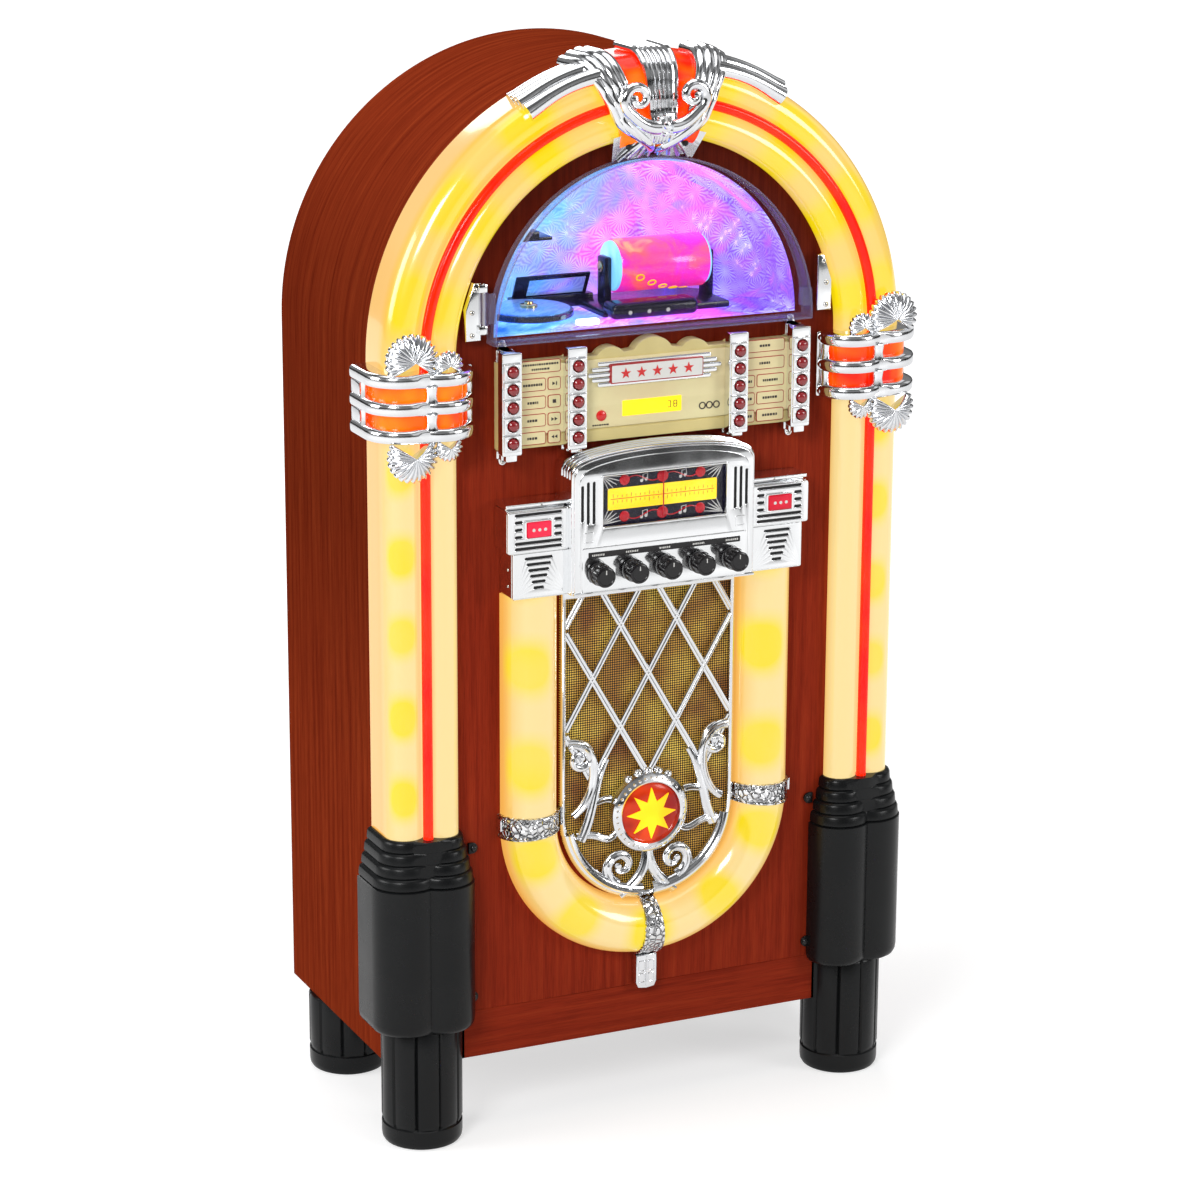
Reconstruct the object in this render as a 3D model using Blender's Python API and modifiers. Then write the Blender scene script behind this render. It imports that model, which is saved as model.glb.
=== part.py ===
"""A floor-standing arch-top jukebox, built in Blender as separate named parts.

Metres, +Z up. The front faces -Y. Local depth y = 0 is the front panel's outer face, and negative y is
towards the listener. The root empty then centres the whole object over the origin, which is on the floor.
"""
import math

import bmesh
import bpy
from mathutils import Matrix, Vector

# ---------------------------------------------------------------- driving dimensions
GAP = 0.0003                # clearance between touching pieces
HALF_WIDTH = 0.267          # cabinet, side face to centre line
DEPTH = 0.280               # cabinet, front panel face to back panel face
BOTTOM = 0.080              # underside of the cabinet above the floor
ARCH_Z = 0.778              # centre of the arch
WOOD = 0.012                # thickness of the cabinet boards
ARC_STEPS = 22              # segments over the half circle

# light tubes round the front edge: a wide outer tube, a narrow inner one and a red rod between them
OUTER_TUBE = (0.2515, 0.004, 0.0195)    # distance from centre line, depth, radius
INNER_TUBE = (0.2165, -0.004, 0.0165)
ROD = (0.2348, -0.0160, 0.0050)
VALLEY = (-0.0065, -0.0040)             # depth of the cover between its two tubes, outside and inside
SLEEVE_VALLEY = (-0.0245, -0.0216)      # the same for pieces that go round the rod as well
CLAMP_VALLEY = (-0.0285, -0.0243)
WRAP_DEPTH = 0.040          # how far the moulding runs back along the side
COVER_WALL = 0.0025
FOOT_DEPTH = 0.003
LEG_X, LEG_FRONT_Y, LEG_BACK_Y, LEG_R = 0.232, 0.013, 0.215, 0.040
BOOT_Z = (0.122, 0.320)
BOOT_RINGS, BOOT_RING = 4, 0.012        # stacked rings at the top of a boot, and the height of one
COVER_LOW = BOOT_Z[0] + 0.020           # the light tubes stand inside the boots
JOINT_Z = ARCH_Z - 0.034                # where the column covers meet the arch cover
CLAMP_Z = (0.711, 0.777)
CLAMP_BAND, CLAMP_STEP = 0.014, 0.026   # height of a band, and from one band to the next

# display window
WINDOW_Z, WINDOW_R, WINDOW_OUT = 0.794, 0.1665, 0.0225
NICHE_R, NICHE_DEPTH, NICHE_WALL = 0.158, 0.125, 0.002
HINGE_X, HINGE_Y, HINGE_Z = -0.1735, -0.0125, 0.829
PIN_R, KNUCKLE_R = 0.0019, 0.0042
PLATTER = (-0.100, 0.052, 0.043)        # x, y, radius
DRUM = (0.043, 0.072, 0.842, 0.026, 0.100)   # x, y, z, radius, length

# keypad
KEY_X = (0.1515, 0.0847)    # strip centres, outer and inner
KEY_Z, KEY_PITCH, KEY_ROWS = 0.7705, 0.0171, 5
KEYPAD_OUT, STRIP_OUT = 0.0160, 0.0300
KEYPAD_LOW, KEYPAD_TOP, KEYPAD_HALF = 0.6925, 0.7755, 0.1585
STRIP_HALF, FOOT_HALF = 0.0100, 0.0085
CAP_R, CAP_HOLE_R = 0.0051, 0.0058

# tuner unit
TUNER_OUT, WING_OUT, TUNER_WALL = 0.044, 0.034, 0.003
KNOB_PITCH, KNOB_Z, KNOB_TIP = 0.0353, 0.572, 0.064
KNOB_R, KNOB_FACE_R = 0.0112, 0.0104
DIAL_HALF, DIAL_Z = 0.065, (0.616, 0.665)
SWITCH_X, SWITCH_Z = 0.1275, 0.6185

# U-shaped light tube and speaker grille
U_Z, U_R, U_TUBE = 0.318, 0.125, 0.0285
U_TOP = 0.5505
U_STEP = 10                 # degrees between the bend's facets
GRILLE_HALF, GRILLE_TOP = 0.0930, 0.5480
MEDALLION_Z = 0.313
SPEAKER_Z, SPEAKER_HOLE = 0.400, 0.052   # height, half the hole's width

# ---------------------------------------------------------------- scene, materials, basic shapes
for old in list(bpy.data.objects):
    bpy.data.objects.remove(old, do_unlink=True)

parts = bpy.data.collections.new("jukebox")
cutters = bpy.data.collections.new("cutters")
cutters.hide_render = True
for collection in (parts, cutters):
    bpy.context.scene.collection.children.link(collection)

root = bpy.data.objects.new("jukebox_root", None)
root.location = (0, -(DEPTH - KNOB_TIP) / 2, 0)
parts.objects.link(root)


def material(name, colour, roughness, metallic=0.0):
    made = bpy.data.materials.new(name)
    made.use_nodes = True
    shader = made.node_tree.nodes["Principled BSDF"]
    shader.inputs["Base Color"].default_value = (*colour, 1)
    shader.inputs["Roughness"].default_value = roughness
    shader.inputs["Metallic"].default_value = metallic
    return made


WOOD_RED = material("wood", (0.30, 0.06, 0.025), 0.4)
CHROME = material("chrome", (0.8, 0.8, 0.82), 0.08, 1.0)
CREAM_LIGHT = material("cream_diffuser", (0.95, 0.80, 0.45), 0.25)
RED_ROD = material("red_rod", (0.85, 0.03, 0.01), 0.15)
AMBER = material("amber_lens", (0.95, 0.22, 0.02), 0.15)
BLACK = material("black_plastic", (0.02, 0.02, 0.02), 0.4)
CLEAR = material("clear_acrylic", (0.85, 0.85, 0.95), 0.05)
CREAM = material("cream_plastic", (0.85, 0.78, 0.52), 0.4)
KEY_RED = material("red_keys", (0.45, 0.03, 0.04), 0.3)
FOIL = material("display_foil", (0.45, 0.40, 0.85), 0.3, 0.5)
CLOTH = material("grille_cloth", (0.30, 0.20, 0.05), 0.9)
DIAL = material("dial", (0.95, 0.75, 0.02), 0.4)
STEEL = material("steel", (0.4, 0.4, 0.42), 0.4, 1.0)
DRUM_PRINT = material("drum_print", (0.85, 0.08, 0.25), 0.4)


def put(obj, finish=None, into=parts):
    """Links an object under the root, with its material."""
    into.objects.link(obj)
    obj.parent = root
    if finish:
        obj.data.materials.clear()
        obj.data.materials.append(finish)
    return obj


def from_bmesh(name, bm, finish, into=parts):
    bmesh.ops.recalc_face_normals(bm, faces=bm.faces)
    mesh = bpy.data.meshes.new(name)
    bm.to_mesh(mesh)
    bm.free()
    return put(bpy.data.objects.new(name, mesh), finish, into)


def box(name, low, high, finish=None, into=parts):
    low, high = Vector(low), Vector(high)
    bm = bmesh.new()
    bmesh.ops.create_cube(bm, size=1.0)
    bmesh.ops.scale(bm, vec=high - low, verts=bm.verts)
    bmesh.ops.translate(bm, vec=(low + high) / 2, verts=bm.verts)
    return from_bmesh(name, bm, finish, into)


def cylinder(name, centre, radius, length, axis, finish=None, into=parts, sides=20, radius_2=None):
    """A cylinder or cone of that length, centred on centre, along axis X, Y or Z."""
    bm = bmesh.new()
    bmesh.ops.create_cone(
        bm, cap_ends=True, segments=sides, radius1=radius, radius2=radius_2 or radius, depth=length
    )
    turn = {"X": Matrix.Rotation(math.pi / 2, 3, "Y"), "Y": Matrix.Rotation(math.pi / 2, 3, "X")}
    if axis in turn:
        bmesh.ops.rotate(bm, matrix=turn[axis], verts=bm.verts)
    bmesh.ops.translate(bm, vec=centre, verts=bm.verts)
    return from_bmesh(name, bm, finish, into)


def solid_from_curve(name, curve, matrix, finish, into=parts):
    """Makes a curve a welded mesh, standing where the matrix puts it."""
    guide = bpy.data.objects.new(name + "_curve", curve)
    bpy.context.scene.collection.objects.link(guide)
    bpy.context.view_layer.update()
    graph = bpy.context.evaluated_depsgraph_get()
    mesh = bpy.data.meshes.new_from_object(guide.evaluated_get(graph))
    bpy.data.objects.remove(guide)
    mesh.transform(matrix)
    bm = bmesh.new()
    bm.from_mesh(mesh)
    bpy.data.meshes.remove(mesh)
    bmesh.ops.remove_doubles(bm, verts=bm.verts, dist=1e-6)
    bmesh.ops.dissolve_limit(bm, angle_limit=0.001, verts=bm.verts, edges=bm.edges)
    return from_bmesh(name, bm, finish, into)


def add_spline(curve, points, cyclic=True):
    spline = curve.splines.new("POLY")
    spline.points.add(len(points) - 1)
    for place, point in zip(spline.points, points):
        place.co = (point[0], point[1], 0, 1)
    spline.use_cyclic_u = cyclic


def plate(name, outline, y_front, y_back, finish=None, holes=(), into=parts):
    """A flat outline of (x, z) points, standing between two depths, with holes."""
    curve = bpy.data.curves.new(name, "CURVE")
    curve.dimensions = "2D"
    curve.fill_mode = "BOTH"
    curve.extrude = (y_back - y_front) / 2
    for ring in (outline, *holes):
        add_spline(curve, ring)
    stand = Matrix.Translation((0, (y_front + y_back) / 2, 0)) @ Matrix.Rotation(math.pi / 2, 4, "X")
    return solid_from_curve(name, curve, stand, finish, into)


def column(name, outline, z_low, z_high, finish=None, into=parts):
    """A flat outline of (x, y) points, extruded upwards."""
    curve = bpy.data.curves.new(name, "CURVE")
    curve.dimensions = "2D"
    curve.fill_mode = "BOTH"
    curve.extrude = (z_high - z_low) / 2
    add_spline(curve, outline)
    return solid_from_curve(name, curve, Matrix.Translation((0, 0, (z_low + z_high) / 2)), finish, into)


def swept(name, section, path, finish=None, into=parts):
    """Carries a closed section of (outwards, y) points along stations of (x, z, outward x, outward z)."""
    bm = bmesh.new()
    rings = []
    for x, z, out_x, out_z in path:
        rings.append([bm.verts.new((x + r * out_x, y, z + r * out_z)) for r, y in section])
    count = len(section)
    for near, far in zip(rings, rings[1:]):
        for i in range(count):
            bm.faces.new((near[i], near[(i + 1) % count], far[(i + 1) % count], far[i]))
    bm.faces.new(rings[0])
    bm.faces.new(rings[-1])
    return from_bmesh(name, bm, finish, into)


def combine(obj, other, operation):
    """Applies a Boolean at once and removes the other object."""
    modifier = obj.modifiers.new(operation.lower(), "BOOLEAN")
    modifier.operation = operation
    modifier.object = other
    bpy.context.view_layer.update()
    graph = bpy.context.evaluated_depsgraph_get()
    mesh = bpy.data.meshes.new_from_object(obj.evaluated_get(graph))
    obj.modifiers.clear()
    obj.data = mesh
    bpy.data.objects.remove(other)
    return obj


def cut(obj, *others):
    for other in others:
        combine(obj, other, "DIFFERENCE")
    return obj


def join(obj, *others):
    for other in others:
        combine(obj, other, "UNION")
    return obj


def cut_box(obj, low, high):
    return cut(obj, box("cutter", low, high, None, cutters))


def pivot(obj, centre):
    """Moves a piece's origin to its joint's axis and leaves the piece where it is."""
    obj.data.transform(Matrix.Translation(-Vector(centre)))
    obj.location = centre
    return obj


def lathe(name, profile, centre, finish, steps=20):
    """Turns a profile of (radius, y) points, both ends on the axis, about the line along Y through centre."""
    mesh = bpy.data.meshes.new(name)
    mesh.from_pydata([(r, 0, -y) for r, y in profile], [(i, i + 1) for i in range(len(profile) - 1)], [])
    obj = put(bpy.data.objects.new(name, mesh), finish)
    screw = obj.modifiers.new("screw", "SCREW")
    screw.steps = screw.render_steps = steps
    screw.use_merge_vertices = True
    screw.merge_threshold = 0.00001
    screw.use_normal_calculate = True
    obj.location = centre
    obj.rotation_euler = (math.pi / 2, 0, 0)
    return obj


def mirror_x(points):
    return [(-x, y) for x, y in reversed(points)]


def arc(cx, cz, radius, start_deg, end_deg, steps):
    """(x, z) points on a circle, both ends included."""
    angles = [math.radians(start_deg + (end_deg - start_deg) * i / steps) for i in range(steps + 1)]
    return [(cx + radius * math.cos(a), cz + radius * math.sin(a)) for a in angles]


def rectangle(x0, z0, x1, z1):
    return [(x0, z0), (x1, z0), (x1, z1), (x0, z1)]


def arch_outline(half, low, centre_z=ARCH_Z, steps=ARC_STEPS):
    return [(-half, low), (half, low), *arc(0, centre_z, half, 0, 180, steps)]


def side_name(stem, side):
    return f"{stem}_{'left' if side < 0 else 'right'}"


# ---------------------------------------------------------------- light-tube section
def tube_side(grow, valley, wrap, steps=4):
    """The two-lobed face of the front edge, from the cabinet's side to the front panel, grown outwards."""
    wide_x, wide_y, wide_r = OUTER_TUBE
    slim_x, slim_y, slim_r = INNER_TUBE
    wide, slim = wide_r + grow, slim_r + grow
    apart = math.hypot(wide_x - slim_x, wide_y - slim_y)
    lean = math.degrees(math.atan2(slim_y - wide_y, slim_x - wide_x))
    wide_share, slim_share = (valley - wide_y) / wide, (valley - slim_y) / slim
    leave_wide = -180 - math.degrees(math.asin(max(wide_share, -1)))
    enter_slim = math.degrees(math.asin(max(slim_share, -1)))
    shoulders = [(ROD[0] + 0.0065, valley)] if wide_share < -1 else []
    shoulders += [(ROD[0] - 0.0065, valley)] if slim_share < -1 else []
    along = (apart**2 + wide**2 - slim**2) / (2 * apart)
    if along < wide:
        meet = lean + math.degrees(math.acos(along / wide))
        if wide_y + wide * math.sin(math.radians(meet)) < valley:
            leave_wide = meet
            enter_slim = lean + 180 - math.degrees(math.acos((apart - along) / slim))
    foot = -180 - math.degrees(math.asin((FOOT_DEPTH - slim_y) / slim))
    points = [(wide_x + wide, wrap)]
    points += arc(wide_x, wide_y, wide, 0, leave_wide, steps)
    points += shoulders + arc(slim_x, slim_y, slim, enter_slim, foot, steps)
    return [p for i, p in enumerate(points) if i == 0 or math.dist(p, points[i - 1]) > 1e-5]


def tube_wall(outer, inner, valleys=SLEEVE_VALLEY):
    """A closed section between two grown faces. It runs into the cabinet, which is then cut from it."""
    return tube_side(outer, valleys[0], WRAP_DEPTH) + list(reversed(tube_side(inner, valleys[1], WRAP_DEPTH)))


def tube_block(grow, valley, wrap=WRAP_DEPTH):
    """The same face as a filled section, whose back lies inside the cabinet."""
    return tube_side(grow, valley, wrap) + [(HALF_WIDTH - 0.008, FOOT_DEPTH), (HALF_WIDTH - 0.008, wrap)]


def sleeve(name, blocks, inner, z_low, z_high, side, finish):
    """Stacked filled sections of (grow, valley, wrap, low, high) round a light tube, bored lengthways."""
    solid = None
    for grow, valley, wrap, low, high in blocks:
        outline = on_side(tube_block(grow, valley, wrap), side)
        if solid:
            join(solid, column("block", outline, low, high, None, cutters))
        else:
            solid = column(name, outline, low, high, finish)
    bore = on_side(tube_block(inner, SLEEVE_VALLEY[1] if inner < 0.005 else CLAMP_VALLEY[1]), side)
    return cut(solid, column("cutter", bore, z_low - 0.01, z_high + 0.01, None, cutters), corner_cutter())


def on_side(points, side):
    return points if side > 0 else mirror_x(points)


def arch_path(start_deg, end_deg, steps):
    return [
        (0, ARCH_Z, math.cos(math.radians(a)), math.sin(math.radians(a)))
        for a in (start_deg + (end_deg - start_deg) * i / steps for i in range(steps + 1))
    ]


def arch_piece(name, section, start_deg, end_deg, finish=None, steps=4, into=parts):
    return swept(name, section, arch_path(start_deg, end_deg, steps), finish, into)


def corner_cutter():
    """The cabinet's own corner, a little oversize, which no tube piece may enter."""
    grown = arch_outline(HALF_WIDTH + GAP, BOTTOM - GAP)
    return plate("cutter", grown, -GAP, DEPTH + 0.02, None, (), cutters)


# ---------------------------------------------------------------- cabinet
def make_cabinet():
    shell = plate("cabinet_shell", arch_outline(HALF_WIDTH, BOTTOM), 0, DEPTH, WOOD_RED)
    inner = arch_outline(HALF_WIDTH - WOOD, BOTTOM - 0.02)
    cut(shell, plate("cutter", inner, -0.01, DEPTH + 0.01, None, (), cutters))

    fit = HALF_WIDTH - WOOD - GAP
    window = [(-NICHE_R - 2 * GAP, WINDOW_Z + 0.004), (NICHE_R + 2 * GAP, WINDOW_Z + 0.004)]
    window += arc(0, WINDOW_Z + 0.004, NICHE_R + 2 * GAP, 0, 180, 24)[1:-1]
    speaker = rectangle(-SPEAKER_HOLE, SPEAKER_Z - SPEAKER_HOLE, SPEAKER_HOLE, SPEAKER_Z + SPEAKER_HOLE)
    works = rectangle(-0.085, 0.562, 0.085, 0.640)
    keys = rectangle(-0.060, 0.700, 0.060, 0.765)
    low_board = rectangle(-fit, BOTTOM, fit, ARCH_Z - GAP)
    plate("front_panel", low_board, 0, WOOD, WOOD_RED, (speaker, works, keys))
    plate("front_panel_top", arch_outline(fit, ARCH_Z), 0, WOOD, WOOD_RED, (window,))

    back = plate("back_panel", arch_outline(fit, BOTTOM), DEPTH - 0.008, DEPTH, BLACK)
    for row in range(6):
        z = 0.50 + 0.018 * row
        cut_box(back, (-0.08, DEPTH - 0.02, z), (0.08, DEPTH + 0.01, z + 0.005))
    cut_box(back, (-0.200, DEPTH - 0.02, 0.150), (-0.172, DEPTH + 0.01, 0.170))
    floor_y = (WOOD + GAP, DEPTH - 0.008 - GAP)
    box("bottom_board", (-fit, floor_y[0], BOTTOM), (fit, floor_y[1], BOTTOM + WOOD), WOOD_RED)


def make_legs():
    for side in (-1, 1):
        place = (side * LEG_X, LEG_BACK_Y, (BOTTOM - GAP) / 2)
        cylinder(side_name("leg_back", side), place, LEG_R, BOTTOM - GAP, "Z", BLACK, sides=24)
        top = BOOT_Z[0] - GAP
        place = (side * LEG_X, LEG_FRONT_Y, top / 2)
        leg = cylinder(side_name("leg_front", side), place, LEG_R, top, "Z", BLACK, sides=24)
        cut(leg, corner_cutter())


def make_boots():
    low, high = BOOT_Z
    for side in (-1, 1):
        rings_low = high - BOOT_RINGS * BOOT_RING
        blocks = [(0.0155, SLEEVE_VALLEY[0], WRAP_DEPTH, low, rings_low)]
        for step in range(BOOT_RINGS):
            start = rings_low - 0.001 + BOOT_RING * step
            depth = WRAP_DEPTH - 0.001 * (step + 1)
            blocks.append((0.0135 - 0.0028 * step, SLEEVE_VALLEY[0], depth, start, start + BOOT_RING + 0.001))
        sleeve(side_name("boot", side), blocks, 0.0015, low, high, side, BLACK)


# ---------------------------------------------------------------- outer light tubes, clamps and crown
def make_light_tubes():
    wall = tube_wall(0, -COVER_WALL, VALLEY)
    for side in (-1, 1):
        name = side_name("column_light_cover", side)
        cover = column(name, on_side(wall, side), COVER_LOW, JOINT_Z - GAP, CREAM_LIGHT)
        cut(cover, corner_cutter())
    cover = swept("arch_light_cover", wall, tube_route(JOINT_Z), CREAM_LIGHT)
    cut(cover, corner_cutter())
    swept("red_rod", ring_section(*ROD), tube_route(COVER_LOW), RED_ROD)


def ring_section(x, y, radius, sides=8):
    return arc(x, y, radius, 0, 360 - 360 / sides, sides - 1)


def tube_route(low):
    """Stations up the right column, over the arch and down the left column."""
    return [(0, low, 1, 0), *arch_path(0, 180, ARC_STEPS), (0, low, -1, 0)]


def shell_plate(x, z, y, radius, upwards):
    """A scallop shell: most of a disc, which stands clear of the light tubes."""
    turn = (-35, 215) if upwards else (145, 395)
    return plate("shell", arc(x, z, radius, *turn, 12), y, y + 0.006, None, (), cutters)


def make_clamps():
    low, high = CLAMP_Z
    for side in (-1, 1):
        blocks = [(0.0125, CLAMP_VALLEY[0], WRAP_DEPTH, low + 0.001, high - 0.001)]
        for z in (low + CLAMP_STEP * band for band in range(3)):
            blocks.append((0.0170, CLAMP_VALLEY[0] - 0.002, WRAP_DEPTH - 0.001, z, z + CLAMP_BAND))
        clamp = sleeve(side_name("clamp", side), blocks, 0.0075, low, high, side, CHROME)
        wide_x, slim_x = side * OUTER_TUBE[0], side * INNER_TUBE[0]
        for z in (low + 0.015, low + 0.015 + CLAMP_STEP):
            for x, half in ((wide_x, 0.0115), (slim_x, 0.0080)):
                cut_box(clamp, (x - half, -0.06, z), (x + half, -0.006, z + 0.010))
        for x, y, rise, radius in ((wide_x, -0.0289, 0.012, 0.026), (slim_x, -0.0339, 0.006, 0.014)):
            join(
                clamp,
                shell_plate(x, high + rise, y, radius, True),
                shell_plate(x, low - rise, y, radius - 0.001, False),
            )
        lens = on_side(tube_wall(0.0070, 0.0025, (-0.0240, -0.0216)), side)
        made = column(side_name("clamp_lens", side), lens, low + 0.004, high - 0.004, AMBER)
        cut(made, corner_cutter())


def make_crown():
    """The ornament at the top of the arch: a fluted middle strap, two feathered arms and a bow below."""
    base = tube_wall(0.0150, 0.0080, CLAMP_VALLEY)
    crown = arch_piece("crown_bracket", base, 84.5, 95.5, CHROME, 2)
    for side in (-1, 1):
        middle = 90 - side * 18
        arm = tube_wall(0.0140, 0.0080, CLAMP_VALLEY)
        join(crown, arch_piece("arm", arm, middle - 2.2, middle + 2.2, None, 2, cutters))
        link = [(0.2850, WRAP_DEPTH), (0.2850, -0.018), (0.2790, -0.020), (0.2790, WRAP_DEPTH)]
        start, end = sorted((90 - side * 4, 90 - side * 27))
        join(crown, arch_piece("feather", link, start, end, None, 6, cutters))
    bow = [(0.1915, FOOT_DEPTH), (0.1915, -0.0070), (0.1880, -0.0100), (0.1845, -0.0060)]
    bow.append((0.1845, FOOT_DEPTH))
    join(crown, arch_piece("bow", bow, 71, 109, None, 8, cutters))
    cut(crown, corner_cutter())
    lens = arch_piece("crown_lens", tube_wall(0.0075, 0.0025, (-0.0240, -0.0216)), 74.5, 105.5, AMBER, 6)
    cut(lens, corner_cutter())


# ---------------------------------------------------------------- display window and what it shows
def half_disc(radius, low, lift=0, steps=22):
    """The part of a disc about (0, low) that is above low + lift."""
    start = math.degrees(math.asin(lift / radius))
    return arc(0, low, radius, start, 180 - start, steps)


def make_window():
    door = plate("window_door", half_disc(WINDOW_R, WINDOW_Z), -WINDOW_OUT, -0.0015, CLEAR)
    pocket = half_disc(WINDOW_R - 0.0025, WINDOW_Z, 0.0025)
    cut(door, plate("cutter", pocket, -WINDOW_OUT + 0.0025, 0.01, None, (), cutters))
    axis = (HINGE_X, HINGE_Y, HINGE_Z)
    knuckle = cylinder("knuckle", axis, KNUCKLE_R, 0.030, "Z", None, cutters, 16)
    arm_low = (HINGE_X, HINGE_Y - 0.0036, HINGE_Z - 0.0145)
    arm_high = (-0.1610, HINGE_Y - 0.0006, HINGE_Z + 0.0145)
    join(door, knuckle, box("arm", arm_low, arm_high, None, cutters))
    cut(door, cylinder("cutter", axis, PIN_R + 0.0004, 0.05, "Z", None, cutters, 16))
    pivot(door, axis)

    leaf = [(-0.1760, 0.799), (-0.1760, 0.8535), (-0.1830, 0.8535), (-0.1920, 0.828), (-0.1920, 0.799)]
    hinge = plate("window_hinge", leaf, -0.0045, -GAP, CHROME)
    join(hinge, cylinder("pin", axis, PIN_R, 0.048, "Z", None, cutters, 12))
    for z in (0.8050, 0.8445):
        ear_low, ear_high = (-0.1800, HINGE_Y - 0.003, z), (HINGE_X + 0.0026, -0.0040, z + 0.0085)
        join(hinge, box("ear", ear_low, ear_high, None, cutters))

    floor = WINDOW_Z + 0.004 + GAP
    niche = plate("display_niche", half_disc(NICHE_R, floor), 0.0005, NICHE_DEPTH, FOIL)
    pocket = half_disc(NICHE_R - NICHE_WALL, floor, NICHE_WALL)
    cut(niche, plate("cutter", pocket, -0.01, NICHE_DEPTH - NICHE_WALL, None, (), cutters))

    table = floor + NICHE_WALL + GAP
    x, y, radius = PLATTER
    platter = cylinder("disc_platter", (x, y, table + 0.0085), radius, 0.005, "Z", BLACK, sides=28)
    join(platter, cylinder("hub", (x, y, table + 0.0125), 0.008, 0.012, "Z", None, cutters, 16))
    join(platter, cylinder("shaft", (x, y, table + 0.004), 0.010, 0.0065, "Z", None, cutters, 16))
    pivot(platter, (x, y, table + 0.0085))

    x, y, z, radius, length = DRUM
    pivot(cylinder("light_drum", (x, y, z), radius, length, "X", DRUM_PRINT, sides=28), (x, y, z))
    stand = box("drum_stand", (x - 0.075, 0.030, table), (x + 0.060, 0.110, table + 0.007), BLACK)
    for end in (-1, 1):
        near = x + end * (length / 2 + 0.0006)
        low, high = sorted((near, near + end * 0.008))
        join(stand, box("post", (low, y - 0.009, table + 0.002), (high, y + 0.009, z + 0.010), None, cutters))
    join(stand, box("module", (-0.030, 0.012, table), (0.062, 0.040, table + 0.016), None, cutters))


# ---------------------------------------------------------------- keypad
def key_rows():
    return [KEY_Z - KEY_PITCH * row for row in range(KEY_ROWS)]


def make_keypad():
    top, low, half = KEYPAD_TOP, KEYPAD_LOW, KEYPAD_HALF
    scallop = arc(0.044, top - 0.010, 0.0175, 35, 140, 6)
    cloud = scallop + arc(0, top - 0.010, 0.0235, 32, 148, 8) + mirror_x(scallop)
    outline = [(-half, low), (half, low), (half, top), (0.070, top), *cloud, (-0.070, top), (-half, top)]
    panel = plate("keypad_panel", outline, -KEYPAD_OUT, -GAP, CREAM)
    cut_box(panel, (-half + 0.0025, -KEYPAD_OUT + 0.002, low + 0.002), (half - 0.0025, 0.01, top - 0.002))
    for x in (side * x for side in (-1, 1) for x in KEY_X):
        for z in key_rows():
            cut(panel, cylinder("cutter", (x, -KEYPAD_OUT, z), CAP_HOLE_R, 0.02, "Y", None, cutters, 10))

    names = {-1: ("button_strip_1", "button_strip_2"), 1: ("button_strip_4", "button_strip_3")}
    for side, pair in names.items():
        for name, x in zip(pair, KEY_X):
            make_strip(name, side * x, x == KEY_X[0])
    for side, word in ((-1, "left"), (1, "right")):
        for row, z in enumerate(key_rows()):
            make_key(f"key_{word}_{row + 1}", side, z)


def make_strip(name, x, outer):
    """A chrome bar round one column of caps. An outer bar also has a foot at its top."""
    low, high = KEYPAD_LOW - 0.003, KEYPAD_TOP + 0.013
    strip = box(name, (x - STRIP_HALF, -STRIP_OUT, low), (x + STRIP_HALF, -KEYPAD_OUT - GAP, high), CHROME)
    feet = [(KEYPAD_LOW - 0.0065, KEYPAD_LOW - GAP)]
    if outer:
        feet = [(KEYPAD_LOW - 0.0090, KEYPAD_LOW - GAP), (KEYPAD_TOP + GAP, high)]
    for foot_low, foot_high in feet:
        ends = (x - FOOT_HALF, -0.026, foot_low), (x + FOOT_HALF, -GAP, foot_high)
        join(strip, box("foot", *ends, None, cutters))
    for z in key_rows():
        cut(strip, cylinder("cutter", (x, -0.024, z), CAP_HOLE_R, 0.03, "Y", None, cutters, 10))


def make_key(name, side, z):
    """A bar behind the panel with a cap at each end."""
    inner, outer = sorted((side * KEY_X[1], side * KEY_X[0]))
    bar = box(name, (inner - 0.004, -0.0135, z - 0.0026), (outer + 0.004, -0.0105, z + 0.0026), KEY_RED)
    for x in KEY_X:
        join(bar, cylinder("cap", (side * x, -0.0227, z), CAP_R, 0.0216, "Y", None, cutters, 10))
    pivot(bar, ((inner + outer) / 2, -0.0120, z))


# ---------------------------------------------------------------- tuner unit
def tuner_outline(inset):
    """The main body: straight sides and a shallow arched top with round shoulders."""
    half, low, shoulder, crown = 0.0965 - inset, 0.551 + inset, 0.664 - inset, 0.690 - inset
    angles = [math.pi * i / 14 for i in range(15)]
    top = [(half * math.cos(a), shoulder + (crown - shoulder) * math.sin(a) ** 0.55) for a in angles]
    return [(-half, low), (half, low), *top]


def wing_outline(side, inset):
    points = [(0.090, 0.551), (0.1535, 0.551), (0.1535, 0.594)]
    points += [(0.1590, 0.597), (0.1590, 0.643), (0.090, 0.643)]
    middle_x, middle_z = 0.123, 0.597
    drawn = []
    for x, z in points:
        sx = x - math.copysign(inset, x - middle_x) if x > 0.1 else x
        drawn.append((side * sx, z - math.copysign(inset, z - middle_z)))
    return drawn


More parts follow.
